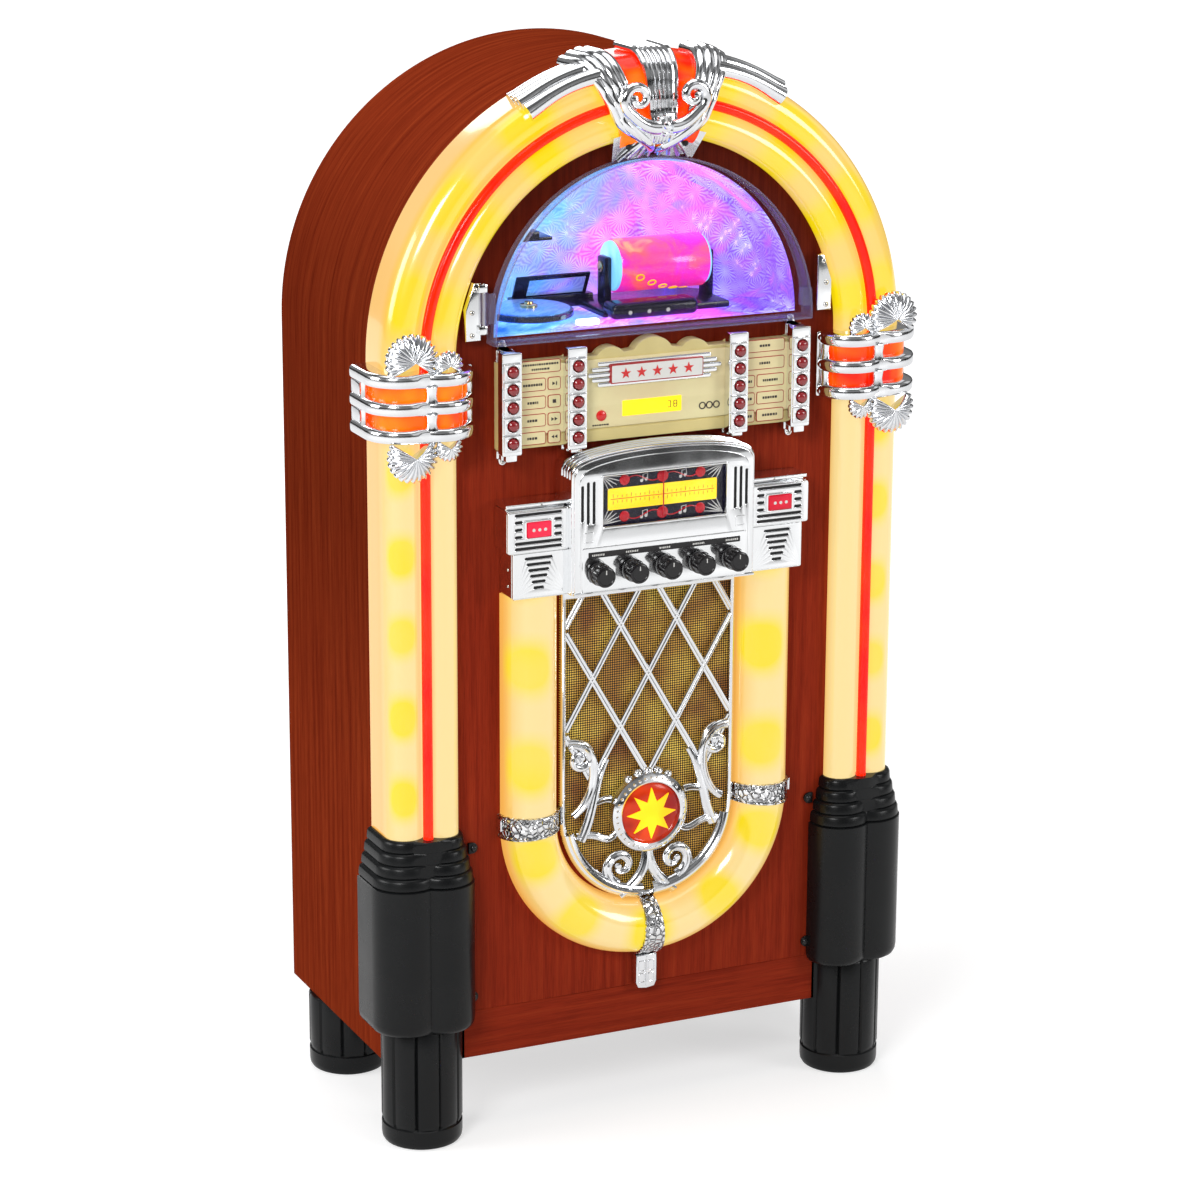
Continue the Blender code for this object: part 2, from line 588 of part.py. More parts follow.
def make_tuner():
    unit = plate("tuner_housing", tuner_outline(0), -TUNER_OUT, -GAP, CHROME)
    for side in (-1, 1):
        join(unit, plate("wing", wing_outline(side, 0), -WING_OUT, -GAP, None, (), cutters))
    cut(unit, plate("cutter", tuner_outline(TUNER_WALL), -TUNER_OUT + TUNER_WALL, 0.01, None, (), cutters))
    for side in (-1, 1):
        hollow = wing_outline(side, TUNER_WALL)
        cut(unit, plate("cutter", hollow, -WING_OUT + TUNER_WALL, 0.01, None, (), cutters))
        low, high = sorted((side * (SWITCH_X - 0.0125), side * (SWITCH_X + 0.0125)))
        cut_box(unit, (low, -0.05, SWITCH_Z - 0.0075), (high, -0.02, SWITCH_Z + 0.0075))
    cut_box(unit, (-DIAL_HALF, -0.05, DIAL_Z[0]), (DIAL_HALF, -0.03, DIAL_Z[1]))
    for place in range(5):
        x = (place - 2) * KNOB_PITCH
        cut(unit, cylinder("cutter", (x, -0.04, KNOB_Z), 0.0034, 0.03, "Y", None, cutters, 12))

    box("dial_plate", (-0.072, -0.0370, 0.608), (0.072, -0.0350, 0.671), DIAL)
    needle = box("tuning_needle", (-0.0006, -0.0398, DIAL_Z[0] + 0.004), (0.0006, -0.0386, 0.674), KEY_RED)
    join(needle, box("carriage", (-0.004, -0.0398, 0.6715), (0.004, -0.0300, 0.6745), None, cutters))
    pivot(needle, (0, -0.0392, 0.6730))

    names = ("knob_volume", "knob_treble", "knob_tuning", "knob_bass", "knob_band")
    for place, name in enumerate(names):
        x = (place - 2) * KNOB_PITCH
        grip = (x, -0.0565, KNOB_Z)
        knob = cylinder(name, grip, KNOB_R, 0.0150, "Y", BLACK, sides=16, radius_2=KNOB_FACE_R)
        join(
            knob,
            cylinder("skirt", (x, -0.0480, KNOB_Z), KNOB_FACE_R, 0.0060, "Y", None, cutters, 16),
            cylinder("shaft", (x, -0.0430, KNOB_Z), 0.0030, 0.0110, "Y", None, cutters, 8),
        )
        pivot(knob, grip)
    for side, name in ((-1, "power_button"), (1, "light_button")):
        x = side * SWITCH_X
        ends = (x - 0.0120, -0.0365, SWITCH_Z - 0.0070), (x + 0.0120, -0.0260, SWITCH_Z + 0.0070)
        pivot(box(name, *ends, KEY_RED), (x, -0.0365, SWITCH_Z))


# ---------------------------------------------------------------- U tube, straps, grille and speaker
def half_tube(outer, inner, steps=8):
    """A half-round shell section standing on the front panel, as (outwards, y)."""
    return arc(0, -GAP, outer, 180, 360, steps) + list(reversed(arc(0, -GAP, inner, 180, 360, steps)))


def u_station(angle_deg):
    a = math.radians(angle_deg)
    return (U_R * math.cos(a), U_Z + U_R * math.sin(a), math.cos(a), math.sin(a))


def halfway(one, other):
    return tuple((a + b) / 2 for a, b in zip(one, other))


def make_u_tube():
    bend = [u_station(180 + U_STEP * i) for i in range(int(180 / U_STEP) + 1)]
    route = [(-U_R, U_TOP, -1, 0), *bend, (U_R, U_TOP, 1, 0)]
    swept("u_light_cover", half_tube(U_TUBE, U_TUBE - 0.002), route, CREAM_LIGHT)
    band = half_tube(U_TUBE + 0.0030, U_TUBE + GAP)
    left = [(-U_R, U_Z + 0.011, -1, 0), bend[0], halfway(bend[0], bend[1])]
    swept("u_strap_left", band, left, CHROME)
    right = [halfway(bend[-2], bend[-1]), bend[-1], (U_R, U_Z + 0.011, 1, 0)]
    swept("u_strap_right", band, right, CHROME)
    low = len(bend) // 2
    bottom = [halfway(bend[low - 1], bend[low]), bend[low], halfway(bend[low], bend[low + 1])]
    strap = swept("u_strap_bottom", band, bottom, CHROME)
    join(strap, box("tab", (-0.0115, -0.012, 0.126), (0.0115, -GAP, 0.1622), None, cutters))


def grille_region(inset):
    half = GRILLE_HALF - inset
    return [(half, GRILLE_TOP - inset), (-half, GRILLE_TOP - inset), *arc(0, U_Z, half, 180, 360, 18)]


def clipped(points, half, low, high):
    """The part of a convex polygon that is within x of +-half and between two heights."""
    for axis, limit, sign in ((0, half, 1), (0, -half, -1), (1, high, 1), (1, low, -1)):
        kept = []
        for i, here in enumerate(points):
            last = points[i - 1]
            here_in, last_in = sign * (here[axis] - limit) <= 0, sign * (last[axis] - limit) <= 0
            if here_in != last_in:
                share = (limit - last[axis]) / (here[axis] - last[axis])
                kept.append(tuple(last[k] + share * (here[k] - last[k]) for k in (0, 1)))
            if here_in:
                kept.append(here)
        points = kept
    return points


def polygon_area(points):
    return abs(sum(a[0] * b[1] - b[0] * a[1] for a, b in zip(points, points[1:] + points[:1]))) / 2


def make_grille():
    cell_x, cell_z, rib = 0.0300, 0.0520, 0.0028    # half of a diamond's width and height, half a bar
    holes = []
    for row in range(-4, 5):
        for col in range(-4, 5):
            if (row + col) % 2:
                continue
            cx, cz = col * cell_x, 0.455 + row * cell_z
            dx, dz = cell_x - rib, cell_z - rib * cell_z / cell_x
            diamond = [(cx + dx, cz), (cx, cz + dz), (cx - dx, cz), (cx, cz - dz)]
            opening = clipped(diamond, GRILLE_HALF - 0.0055, 0.372, 0.5425)
            if len(opening) > 2 and polygon_area(opening) > 4e-5:
                holes.append(opening)
    for side in (-1, 1):
        for x, z, radius in ((0.071, 0.340, 0.017), (0.063, 0.293, 0.014), (0.030, 0.256, 0.013)):
            holes.append(arc(side * x, z, radius, 0, 330, 11))
    plate("grille_lattice", grille_region(0), -0.0085, -0.0055, CHROME, holes)
    plate("grille_cloth", grille_region(0.001), -0.0040, -0.0020, CLOTH)
    jewel = [(0, -0.0230), (0.0180, -0.0215), (0.0300, -0.0180), (0.0305, -0.0195), (0.0400, -0.0170)]
    jewel += [(0.0415, -0.0125), (0.0415, -0.0088), (0, -0.0088)]
    lathe("medallion", jewel[::-1], (0, 0, MEDALLION_Z), CHROME)


def make_speaker():
    cone = [(0, 0.058), (0.030, 0.058), (0.030, 0.038), (0.064, 0.018), (0.078, 0.0165), (0.078, 0.0125)]
    cone += [(0.066, 0.0125), (0.028, 0.033), (0, 0.036)]
    lathe("speaker", cone[::-1], (0, 0, SPEAKER_Z), STEEL)


def shade(collection):
    """Rounds the shading of curved faces and keeps the real edges sharp."""
    for obj in collection.objects:
        if obj.type == "MESH":
            obj.data.shade_smooth()
            obj.data.set_sharp_from_angle(angle=math.radians(35))


make_cabinet()
make_legs()
make_boots()
make_light_tubes()
make_clamps()
make_crown()
make_window()
make_keypad()
make_tuner()
make_u_tube()
make_grille()
make_speaker()
shade(parts)
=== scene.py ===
"""The looks of an arch-top jukebox: chrome castings, lit plastics and grained wood over the CAD frame.

Lengths are in metres. Pieces are drawn in a local frame whose y = 0 is the front panel's outer face, and are
then moved back to the world's frame, which stands on the floor with its origin under the object's middle.
"""
import math
import random

import bmesh
import bpy
from mathutils import Matrix, Vector


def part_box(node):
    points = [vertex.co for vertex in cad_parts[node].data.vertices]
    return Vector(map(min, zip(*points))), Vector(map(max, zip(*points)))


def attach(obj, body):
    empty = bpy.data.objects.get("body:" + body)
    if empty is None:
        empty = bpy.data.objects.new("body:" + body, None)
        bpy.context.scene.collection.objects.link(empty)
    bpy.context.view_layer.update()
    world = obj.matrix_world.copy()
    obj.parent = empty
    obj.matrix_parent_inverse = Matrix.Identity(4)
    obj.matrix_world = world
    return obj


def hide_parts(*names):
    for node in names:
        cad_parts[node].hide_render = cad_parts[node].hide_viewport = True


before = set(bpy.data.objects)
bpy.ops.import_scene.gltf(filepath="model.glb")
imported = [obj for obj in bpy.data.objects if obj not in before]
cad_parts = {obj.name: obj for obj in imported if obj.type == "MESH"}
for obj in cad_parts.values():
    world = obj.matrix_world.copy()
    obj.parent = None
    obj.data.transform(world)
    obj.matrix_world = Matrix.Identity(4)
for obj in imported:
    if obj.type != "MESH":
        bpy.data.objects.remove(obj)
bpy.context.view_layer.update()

BODY = "cabinet"


# ---------------------------------------------------------------- sizes, from the frame where it has them
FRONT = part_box("front_panel")[0][1]
SHELL_LOW, SHELL_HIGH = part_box("cabinet_shell")
HALF = SHELL_HIGH[0]
BOTTOM = SHELL_LOW[2]
ARCH_Z = SHELL_HIGH[2] - HALF
DEPTH = SHELL_HIGH[1] - FRONT
WOOD = 0.012
WRAP = 0.040                            # the moulding's depth along the side
OUTER_TUBE = (0.2515, 0.004, 0.0195)    # distance from the centre line, depth, radius
INNER_TUBE = (0.2165, -0.004, 0.0165)
ROD = (0.2348, -0.0160, 0.0050)
COVER_VALLEY = -0.0065
SLEEVE_VALLEY = -0.0245
CLAMP_VALLEY = -0.0285
BOOT_LOW, BOOT_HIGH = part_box("boot_left")[0][2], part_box("boot_left")[1][2]
CLAMP_LOW, CLAMP_HIGH = 0.711, 0.777
JOINT_Z = ARCH_Z - 0.034
RAIL_TOP = 0.128                        # where the bottom rail meets the front board
LEG_X, LEG_R = 0.232, 0.040
LEG_FRONT_Y, LEG_BACK_Y = 0.013, 0.215
WINDOW_LOW, WINDOW_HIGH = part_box("window_door")
WINDOW_Z, WINDOW_R = WINDOW_LOW[2], WINDOW_HIGH[0]
WINDOW_OUT = FRONT - WINDOW_LOW[1]
NICHE_Z, NICHE_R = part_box("display_niche")[0][2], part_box("display_niche")[1][0]
NICHE_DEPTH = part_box("display_niche")[1][1] - FRONT
TABLE_Z = NICHE_Z + 0.0023
KEY_X = (0.1515, 0.0847)
KEY_TOP, KEY_PITCH, KEY_ROWS, KEY_HOLE = 0.7705, 0.0171, 5, 0.0058
LABEL_NEAR, LABEL_FAR = 0.0972, 0.1390  # the labels' inner and outer ends
PAD_OUT, STRIP_OUT = 0.0160, 0.0300
U_Z, U_R, U_TUBE, U_TOP = 0.318, 0.125, 0.0285, 0.5505
GRILLE_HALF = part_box("grille_lattice")[1][0]
BAR_Y = -0.0085                         # the depth of the grille's bars
MEDALLION_Z, SPEAKER_Z = 0.313, 0.40
KNOB_PITCH, KNOB_Z = 0.0353, 0.572
SWITCH_X, SWITCH_Z = 0.1275, 0.6185
DIAL_HALF, DIAL_LOW, DIAL_HIGH = 0.065, 0.616, 0.665
TUNER_OUT, WING_OUT = 0.044, 0.034


# ---------------------------------------------------------------- shader helpers
def node(tree, kind, inputs=(), **settings):
    """Adds a node. Each input is (name or index, value or socket)."""
    made = tree.nodes.new(kind)
    for key, value in settings.items():
        setattr(made, key, value)
    for key, value in inputs:
        if isinstance(value, bpy.types.NodeSocket):
            tree.links.new(value, made.inputs[key])
        else:
            made.inputs[key].default_value = value
    return made


def math_node(tree, operation, first, second=0.0, third=0.0, clamp=False):
    values = [(0, first), (1, second), (2, third)]
    return node(tree, "ShaderNodeMath", values, operation=operation, use_clamp=clamp).outputs[0]


def to_unit(tree, wave):
    """A wave between -1 and 1, brought between 0 and 1."""
    return math_node(tree, "MULTIPLY_ADD", wave, 0.5, 0.5)


def axes(tree, vector):
    """The X, Y and Z outputs of a vector."""
    return node(tree, "ShaderNodeSeparateXYZ", [(0, vector)]).outputs


def spread_range(tree, value, start, end, low=0.0, high=1.0):
    """A value from start to end, brought from low to high and kept between them."""
    inputs = [("Value", value), ("From Min", start), ("From Max", end), ("To Min", low), ("To Max", high)]
    return node(tree, "ShaderNodeMapRange", inputs).outputs[0]


def ramp(tree, factor, stops, interpolation="LINEAR"):
    """A colour ramp of (position, colour) stops."""
    made = node(tree, "ShaderNodeValToRGB", [("Fac", factor)])
    made.color_ramp.interpolation = interpolation
    elements = made.color_ramp.elements
    while len(elements) < len(stops):
        elements.new(0.5)
    for element, (position, colour) in zip(elements, stops):
        element.position = position
        element.color = (*colour, 1)
    return made.outputs["Color"]


def grey_ramp(tree, factor, stops):
    return ramp(tree, factor, [(position, (level,) * 3) for position, level in stops])


def mix(tree, factor, first, second, blend="MIX"):
    made = node(tree, "ShaderNodeMix", data_type="RGBA", blend_type=blend, clamp_factor=True)
    for index, value in ((0, factor), (6, first), (7, second)):
        if isinstance(value, bpy.types.NodeSocket):
            tree.links.new(value, made.inputs[index])
        else:
            made.inputs[index].default_value = value if index == 0 else (*value, 1)
    return made.outputs[2]


def scaled(tree, vector, scale):
    return node(tree, "ShaderNodeMapping", [("Vector", vector), ("Scale", scale)]).outputs[0]


def coordinates(tree, scale=(1, 1, 1), kind="Object"):
    return scaled(tree, node(tree, "ShaderNodeTexCoord").outputs[kind], scale)


def noise(tree, vector, scale, detail=4.0, rough=0.55, distortion=0.0):
    inputs = [
        ("Vector", vector), ("Scale", scale), ("Detail", detail), ("Roughness", rough),
        ("Distortion", distortion),
    ]
    return node(tree, "ShaderNodeTexNoise", inputs).outputs["Fac"]


def feed(tree, shader, value, *names):
    """Links one value to inputs of the shader."""
    for name in names:
        tree.links.new(value, shader.inputs[name])


def bump(tree, shader, height, strength, distance):
    made = node(tree, "ShaderNodeBump", [("Height", height), ("Strength", strength), ("Distance", distance)])
    feed(tree, shader, made.outputs[0], "Normal")


def material(name, colour, roughness, metallic=0.0, **more):
    """A Principled material and the two things that its details hang on."""
    made = bpy.data.materials.new(name)
    made.use_nodes = True
    tree = made.node_tree
    shader = tree.nodes["Principled BSDF"]
    values = {"Base Color": (*colour, 1), "Roughness": roughness, "Metallic": metallic}
    values.update({key.replace("_", " "): value for key, value in more.items()})
    for key, value in values.items():
        shader.inputs[key].default_value = value
    return made, tree, shader


# ---------------------------------------------------------------- materials
def wood(name, dark, mid, light, sheen_rough, gloss=0.0, painted_shade=((0.0, 1.0), (1.0, 1.0))):
    """Lacquered veneer. The map's first axis runs along the grain. The last argument is painted shade:
    (height, brightness) stops that darken the veneer by height.
    """
    made, tree, shader = material(name, mid, sheen_rough, Specular_IOR_Level=gloss)
    uv = coordinates(tree, kind="UV")
    bend = noise(tree, scaled(tree, uv, (2.2, 9, 1)), 1.0, 3)
    shifted = node(
        tree, "ShaderNodeVectorMath", [(0, scaled(tree, uv, (1.3, 22, 1))), (1, bend)], operation="ADD"
    ).outputs[0]
    flame = node(
        tree,
        "ShaderNodeTexWave",
        [("Vector", shifted), ("Scale", 0.9), ("Distortion", 7.0), ("Detail", 4.0), ("Detail Scale", 1.2)],
        bands_direction="Y",
    ).outputs["Fac"]
    pores = noise(tree, scaled(tree, uv, (30, 900, 1)), 1.0, 2, 0.7)
    streak = noise(tree, scaled(tree, uv, (5, 160, 1)), 1.0, 4, 0.6)
    broad = noise(tree, scaled(tree, uv, (2.5, 14, 1)), 1.0, 3)
    figure = ramp(tree, flame, [(0.0, dark), (0.45, mid), (1.0, light)])
    calm = ramp(tree, streak, [(0.30, dark), (0.52, mid), (0.74, light)])
    body = mix(tree, grey_ramp(tree, broad, [(0.34, 0.72), (0.60, 1.0)]), figure, calm)
    grained = mix(tree, 0.55, body, grey_ramp(tree, pores, [(0.36, 0.62), (0.56, 1.0)]), "MULTIPLY")
    # painted shade: the veneer is darkened by height
    shaded = mix(tree, 1.0, grained, grey_ramp(tree, axes(tree, coordinates(tree))["Z"], painted_shade), "MULTIPLY")
    feed(tree, shader, shaded, "Base Color")
    feed(tree, shader, grey_ramp(tree, pores, [(0.3, 0.55), (0.6, 0.33)]), "Roughness")
    bump(tree, shader, pores, 0.12, 0.0004)
    return made


def chrome(name, tint=(0.86, 0.87, 0.88), rough=0.06, ripple=0.05, ripple_scale=90):
    made, tree, shader = material(name, tint, rough, 1.0)
    place = coordinates(tree)
    waves = noise(tree, place, ripple_scale, 2)
    smudge = noise(tree, place, 25, 4)
    feed(tree, shader, grey_ramp(tree, smudge, [(0.3, rough), (0.75, rough + 0.09)]), "Roughness")
    bump(tree, shader, waves, ripple, 0.0006)
    return made


def bark_chrome():
    """Plated straps with a fine cast relief, its grooves darkened as painted shade."""
    made, tree, shader = material("bark_chrome", (0.84, 0.85, 0.86), 0.12, 1.0)
    place = coordinates(tree)
    cells = node(
        tree, "ShaderNodeTexVoronoi", [("Vector", place), ("Scale", 190)], feature="DISTANCE_TO_EDGE",
    ).outputs[0]
    # painted shade in the relief's grooves: the cell edges darken the plating
    lines = grey_ramp(tree, cells, [(0.0, 0.0), (0.18, 1.0)])
    feed(tree, shader, mix(tree, lines, (0.25, 0.25, 0.26), (0.86, 0.87, 0.88)), "Base Color")
    bump(tree, shader, lines, 0.7, 0.0009)
    return made


def lit_plastic(name, pitch, phase, glow, reach, strength, middle, half, depths, second=0.0):
    """Cream tube lit from within, with a warm oval spot at each bulb. The map runs along it, then around it.

    middle is where the spots sit around the tube at its start and its end, and the tube's length; they are
    set towards the side that faces the camera, as painted glow. half is half a spot's width. depths are where
    the painted shade across the tube runs, paler at the front and deeper orange towards the back. second is
    how strongly the other tube is spotted.
    """
    made, tree, shader = material(
        name, (0.90, 0.72, 0.40), 0.16, Coat_Weight=0.6, Coat_Roughness=0.05, Specular_IOR_Level=0.6
    )
    uv = axes(tree, coordinates(tree, kind="UV"))
    place = coordinates(tree)
    wander = math_node(tree, "MULTIPLY", math_node(tree, "SUBTRACT", noise(tree, place, 9, 2), 0.5), 0.015)
    along = math_node(tree, "ADD", math_node(tree, "ADD", uv["X"], phase), wander)
    wave = to_unit(tree, math_node(tree, "COSINE", math_node(tree, "MULTIPLY", along, 2 * math.pi / pitch)))
    start, end, length = middle
    centre = spread_range(tree, uv["X"], 0.0, length, start, end)
    off = math_node(tree, "DIVIDE", math_node(tree, "SUBTRACT", uv["Y"], centre), half)
    inside = math_node(tree, "SUBTRACT", 1.0, math_node(tree, "MULTIPLY", off, off), clamp=True)
    if second:
        beyond = math_node(tree, "GREATER_THAN", uv["Y"], SECOND_TUBE)
        inside = math_node(tree, "MAXIMUM", inside, math_node(tree, "MULTIPLY", beyond, second))
    spot = math_node(tree, "MULTIPLY", math_node(tree, "POWER", wave, reach), inside)
    level = grey_ramp(tree, noise(tree, place, 11, 1), [(0.35, 0.78), (0.6, 1.0)])
    spot = math_node(tree, "MULTIPLY", grey_ramp(tree, spot, [(0.04, 0.0), (0.54, 1.0)]), level)
    # painted shade across the tube: paler at the front, deeper orange towards the back
    near = spread_range(tree, axes(tree, place)["Y"], FRONT + depths[0], FRONT + depths[1])
    base = ramp(tree, near, [(0.0, glow[0]), (0.55, glow[1]), (1.0, glow[2])])
    colour = mix(tree, spot, base, glow[3])
    feed(tree, shader, colour, "Emission Color")
    feed(tree, shader, mix(tree, 0.80, colour, (0.05, 0.03, 0.01)), "Base Color")
    shader.inputs["Emission Strength"].default_value = strength
    bump(tree, shader, noise(tree, place, 30, 1), 0.04, 0.001)
    return made


def lit_lens(name, low, high, strength):
    made, tree, shader = material(
        name, low, 0.18, Coat_Weight=0.22, Coat_Roughness=0.04, Specular_IOR_Level=0.2,
    )
    patch = grey_ramp(tree, noise(tree, coordinates(tree), 16, 2, 0.5, 0.6), [(0.36, 0.0), (0.62, 1.0)])
    feed(tree, shader, mix(tree, patch, low, high), "Emission Color", "Base Color")
    shader.inputs["Emission Strength"].default_value = strength
    return made


def satin_plastic(name, colour, rough, grain=0.15, grain_scale=700, coat=0.0, specular=0.5):
    made, tree, shader = material(
        name, colour, rough, Coat_Weight=coat, Coat_Roughness=0.08, Specular_IOR_Level=specular
    )
    place = coordinates(tree)
    speck = noise(tree, place, grain_scale, 2)
    wear = noise(tree, place, 14, 5)
    lighter = tuple(min(1, c * 1.35 + 0.004) for c in colour)
    feed(
        tree, shader, mix(tree, grey_ramp(tree, wear, [(0.4, 0.0), (0.8, 0.6)]), colour, lighter),
        "Base Color",
    )
    feed(tree, shader, grey_ramp(tree, wear, [(0.3, rough - 0.06), (0.8, rough + 0.1)]), "Roughness")
    bump(tree, shader, speck, grain, 0.0002)
    return made


def clear_plastic(name, tint, alpha):
    made, tree, shader = material(name, tint, 0.04, IOR=1.49, Alpha=alpha, Specular_IOR_Level=0.35)
    scratch = noise(tree, coordinates(tree, (40, 40, 400)), 1.0, 3)
    feed(tree, shader, grey_ramp(tree, scratch, [(0.35, 0.03), (0.8, 0.09)]), "Roughness")
    return made


FOIL_SPOKES = 21.0
# the hues of the foil's painted reflection, from its left to its right
FOIL_COLOURS = [
    (0.22, (0.010, 0.22, 1.0)),
    (0.38, (0.22, 0.62, 1.0)),
    (0.52, (0.36, 0.34, 1.0)),
    (0.64, (0.90, 0.16, 0.92)),
    (0.80, (0.28, 0.10, 0.90)),
]


def star_foil(name, strength):
    """Pressed holographic foil: bursts of fine pressed needles lit as painted glints, a painted glow, and a
    painted reflection hue, blue on the left and magenta on the right.
    """
    made, tree, shader = material(name, (0.4, 0.4, 0.8), 0.25, 0.4)
    place = coordinates(tree)
    flat = axes(tree, place)
    cells = node(tree, "ShaderNodeTexVoronoi", [("Vector", place), ("Scale", 54)]).outputs
    away = node(
        tree, "ShaderNodeVectorMath", [(0, place), (1, cells["Position"])], operation="SUBTRACT",
    ).outputs[0]
    part = axes(tree, away)
    angle = math_node(tree, "ARCTAN2", part["Z"], math_node(tree, "SUBTRACT", part["X"], part["Y"]))
    jitter = math_node(tree, "MULTIPLY", noise(tree, place, 160, 2), 7.0)
    needles = to_unit(
        tree, math_node(tree, "SINE", math_node(tree, "MULTIPLY_ADD", angle, FOIL_SPOKES, jitter)),
    )
    fade = grey_ramp(tree, cells["Distance"], [(0.05, 1.0), (0.80, 0.30)])
    tone = noise(tree, place, 13, 3, 0.6, 0.8)
    # painted reflection: the hue runs from blue on the left to magenta on the right
    side = spread_range(tree, flat["X"], -0.14, 0.15)
    height = spread_range(tree, flat["Z"], 0.80, 0.95)
    hue = math_node(tree, "MULTIPLY_ADD", side, 0.55, math_node(tree, "MULTIPLY", tone, 0.65))
    hue = math_node(tree, "SUBTRACT", hue, math_node(tree, "MULTIPLY", height, 0.08))
    base = ramp(tree, hue, FOIL_COLOURS)
    spark = math_node(tree, "MULTIPLY", needles, fade)
    pale = grey_ramp(tree, tone, [(0.40, 0.15), (0.62, 0.80)])
    colour = mix(
        tree, spark, mix(tree, 0.30, base, (0.03, 0.02, 0.40)), mix(tree, pale, base, (0.72, 0.90, 1.0)),
    )
    # painted light: the foil glows though it is no lamp
    feed(tree, shader, colour, "Emission Color", "Base Color")
    shader.inputs["Emission Strength"].default_value = strength
    bump(tree, shader, spark, 0.3, 0.0006)
    return made


WEAVE_PITCH = 0.0034


def speaker_cloth():
    """Gold and black basket weave with a patchy painted glow, as though lit from behind."""
    made, tree, shader = material("speaker_cloth", (0.2, 0.12, 0.02), 0.75)
    flat = axes(tree, coordinates(tree))
    turns = 2 * math.pi / WEAVE_PITCH * 0.707
    a, b = (
        math_node(
            tree, "SINE", math_node(tree, "MULTIPLY", math_node(tree, way, flat["X"], flat["Z"]), turns),
        )
        for way in ("ADD", "SUBTRACT")
    )
    weave = to_unit(tree, math_node(tree, "MULTIPLY", a, b))
    # painted light: patches of brighter gold
    patch = noise(tree, coordinates(tree), 18, 2)
    gold = ramp(
        tree, patch, [(0.35, (0.36, 0.13, 0.02)), (0.52, (0.64, 0.35, 0.05)), (0.68, (0.92, 0.64, 0.10))],
    )
    colour = mix(tree, grey_ramp(tree, weave, [(0.50, 0.0), (0.60, 1.0)]), (0.004, 0.003, 0.002), gold)
    # painted glow: the cloth emits its own colour, though it is no lamp
    feed(tree, shader, colour, "Base Color", "Emission Color")
    shader.inputs["Emission Strength"].default_value = 0.25
    bump(tree, shader, weave, 0.6, 0.0006)
    return made


def swirl_print():
    """The drum's generic print: magenta with drifting yellow and violet light."""
    made, tree, shader = material("drum_print", (0.9, 0.05, 0.3), 0.25, Coat_Weight=0.5)
    drift = noise(tree, coordinates(tree), 17, 3, 0.5, 1.2)
    stops = [
        (0.30, (0.55, 0.02, 0.55)), (0.46, (0.95, 0.03, 0.32)), (0.60, (1.0, 0.10, 0.12)),
        (0.74, (1.0, 0.75, 0.10)),
    ]
    feed(tree, shader, ramp(tree, drift, stops), "Base Color", "Emission Color")
    shader.inputs["Emission Strength"].default_value = 0.9
    return made


def grooved_disc():
    made, tree, shader = material("disc_black", (0.01, 0.01, 0.012), 0.25, Coat_Weight=0.5)
    rings = noise(tree, coordinates(tree), 700, 1)
    bump(tree, shader, rings, 0.15, 0.0002)
    feed(tree, shader, grey_ramp(tree, rings, [(0.4, 0.15), (0.7, 0.4)]), "Roughness")
    return made


def back_board_finish():
    made, tree, shader = material("back_board", (0.035, 0.03, 0.028), 0.7)
    fibre = noise(tree, coordinates(tree), 220, 5, 0.7)
    feed(
        tree, shader, ramp(tree, fibre, [(0.35, (0.022, 0.019, 0.017)), (0.7, (0.06, 0.052, 0.045))]),
        "Base Color",
    )
    bump(tree, shader, fibre, 0.25, 0.0004)
    return made


# Each glow's first three colours are painted shade from the tube's back to its front; the last is the bulbs'
# spots.
CREAM_GLOW = ((1.0, 0.50, 0.10), (1.0, 0.64, 0.19), (1.0, 0.76, 0.32), (1.0, 0.76, 0.002))
ARCH_GLOW = ((1.0, 0.60, 0.20), (1.0, 0.58, 0.10), (1.0, 0.68, 0.16), (1.0, 0.76, 0.002))

# The last stops of wood_side and wood_front are painted shade: darker in the side's upper middle and towards
# the front's top.
M_SIDE = wood(
    "wood_side", (0.160, 0.0165, 0.0055), (0.235, 0.0290, 0.0085), (0.300, 0.0440, 0.0120), 0.46, 0.0,
    ((0.10, 1.0), (0.35, 0.95), (0.62, 0.66), (0.85, 0.74), (1.0, 1.0)),
)
M_FRONT = wood(
    "wood_front", (0.210, 0.0160, 0.0050), (0.290, 0.0260, 0.0080), (0.350, 0.0380, 0.0110), 0.44, 0.06,
    ((0.10, 1.0), (0.45, 1.0), (0.72, 0.98), (0.81, 0.50), (0.95, 0.34)),
)
M_EDGE = wood("wood_edge", (0.05, 0.010, 0.005), (0.11, 0.022, 0.010), (0.16, 0.034, 0.014), 0.5)
M_CHROME = chrome("chrome")
M_CAST = chrome("cast_chrome", (0.84, 0.85, 0.87), 0.08, 0.22, 120)
M_BARK = bark_chrome()
# dark_gap is mostly painted shade in slots, vents and hollows; on the boot it is the seam's dark joint.
M_DARK_GAP = satin_plastic("dark_gap", (0.006, 0.006, 0.007), 0.6)
TUBE_DEPTHS = (0.012, -0.010)
WRAP_LENGTH = abs(WRAP - OUTER_TUBE[1])
SECOND_TUBE = WRAP_LENGTH + OUTER_TUBE[2] * 2.75
ARCH_LENGTH = math.pi * (OUTER_TUBE[0] + OUTER_TUBE[2])
U_LENGTH = 2 * (U_TOP - U_Z) + math.pi * (U_R + U_TUBE)


def around_tube(angle):
    """How far round the wide tube that angle is, from the cabinet's side."""
    return WRAP_LENGTH + OUTER_TUBE[2] * angle


def lit_column(name, angle):
    spot_line = around_tube(angle)
    return lit_plastic(
        name, 0.080, 0.009, CREAM_GLOW, 1.6, 0.80, (spot_line, spot_line, 1.0), 0.0175, TUBE_DEPTHS,
    )


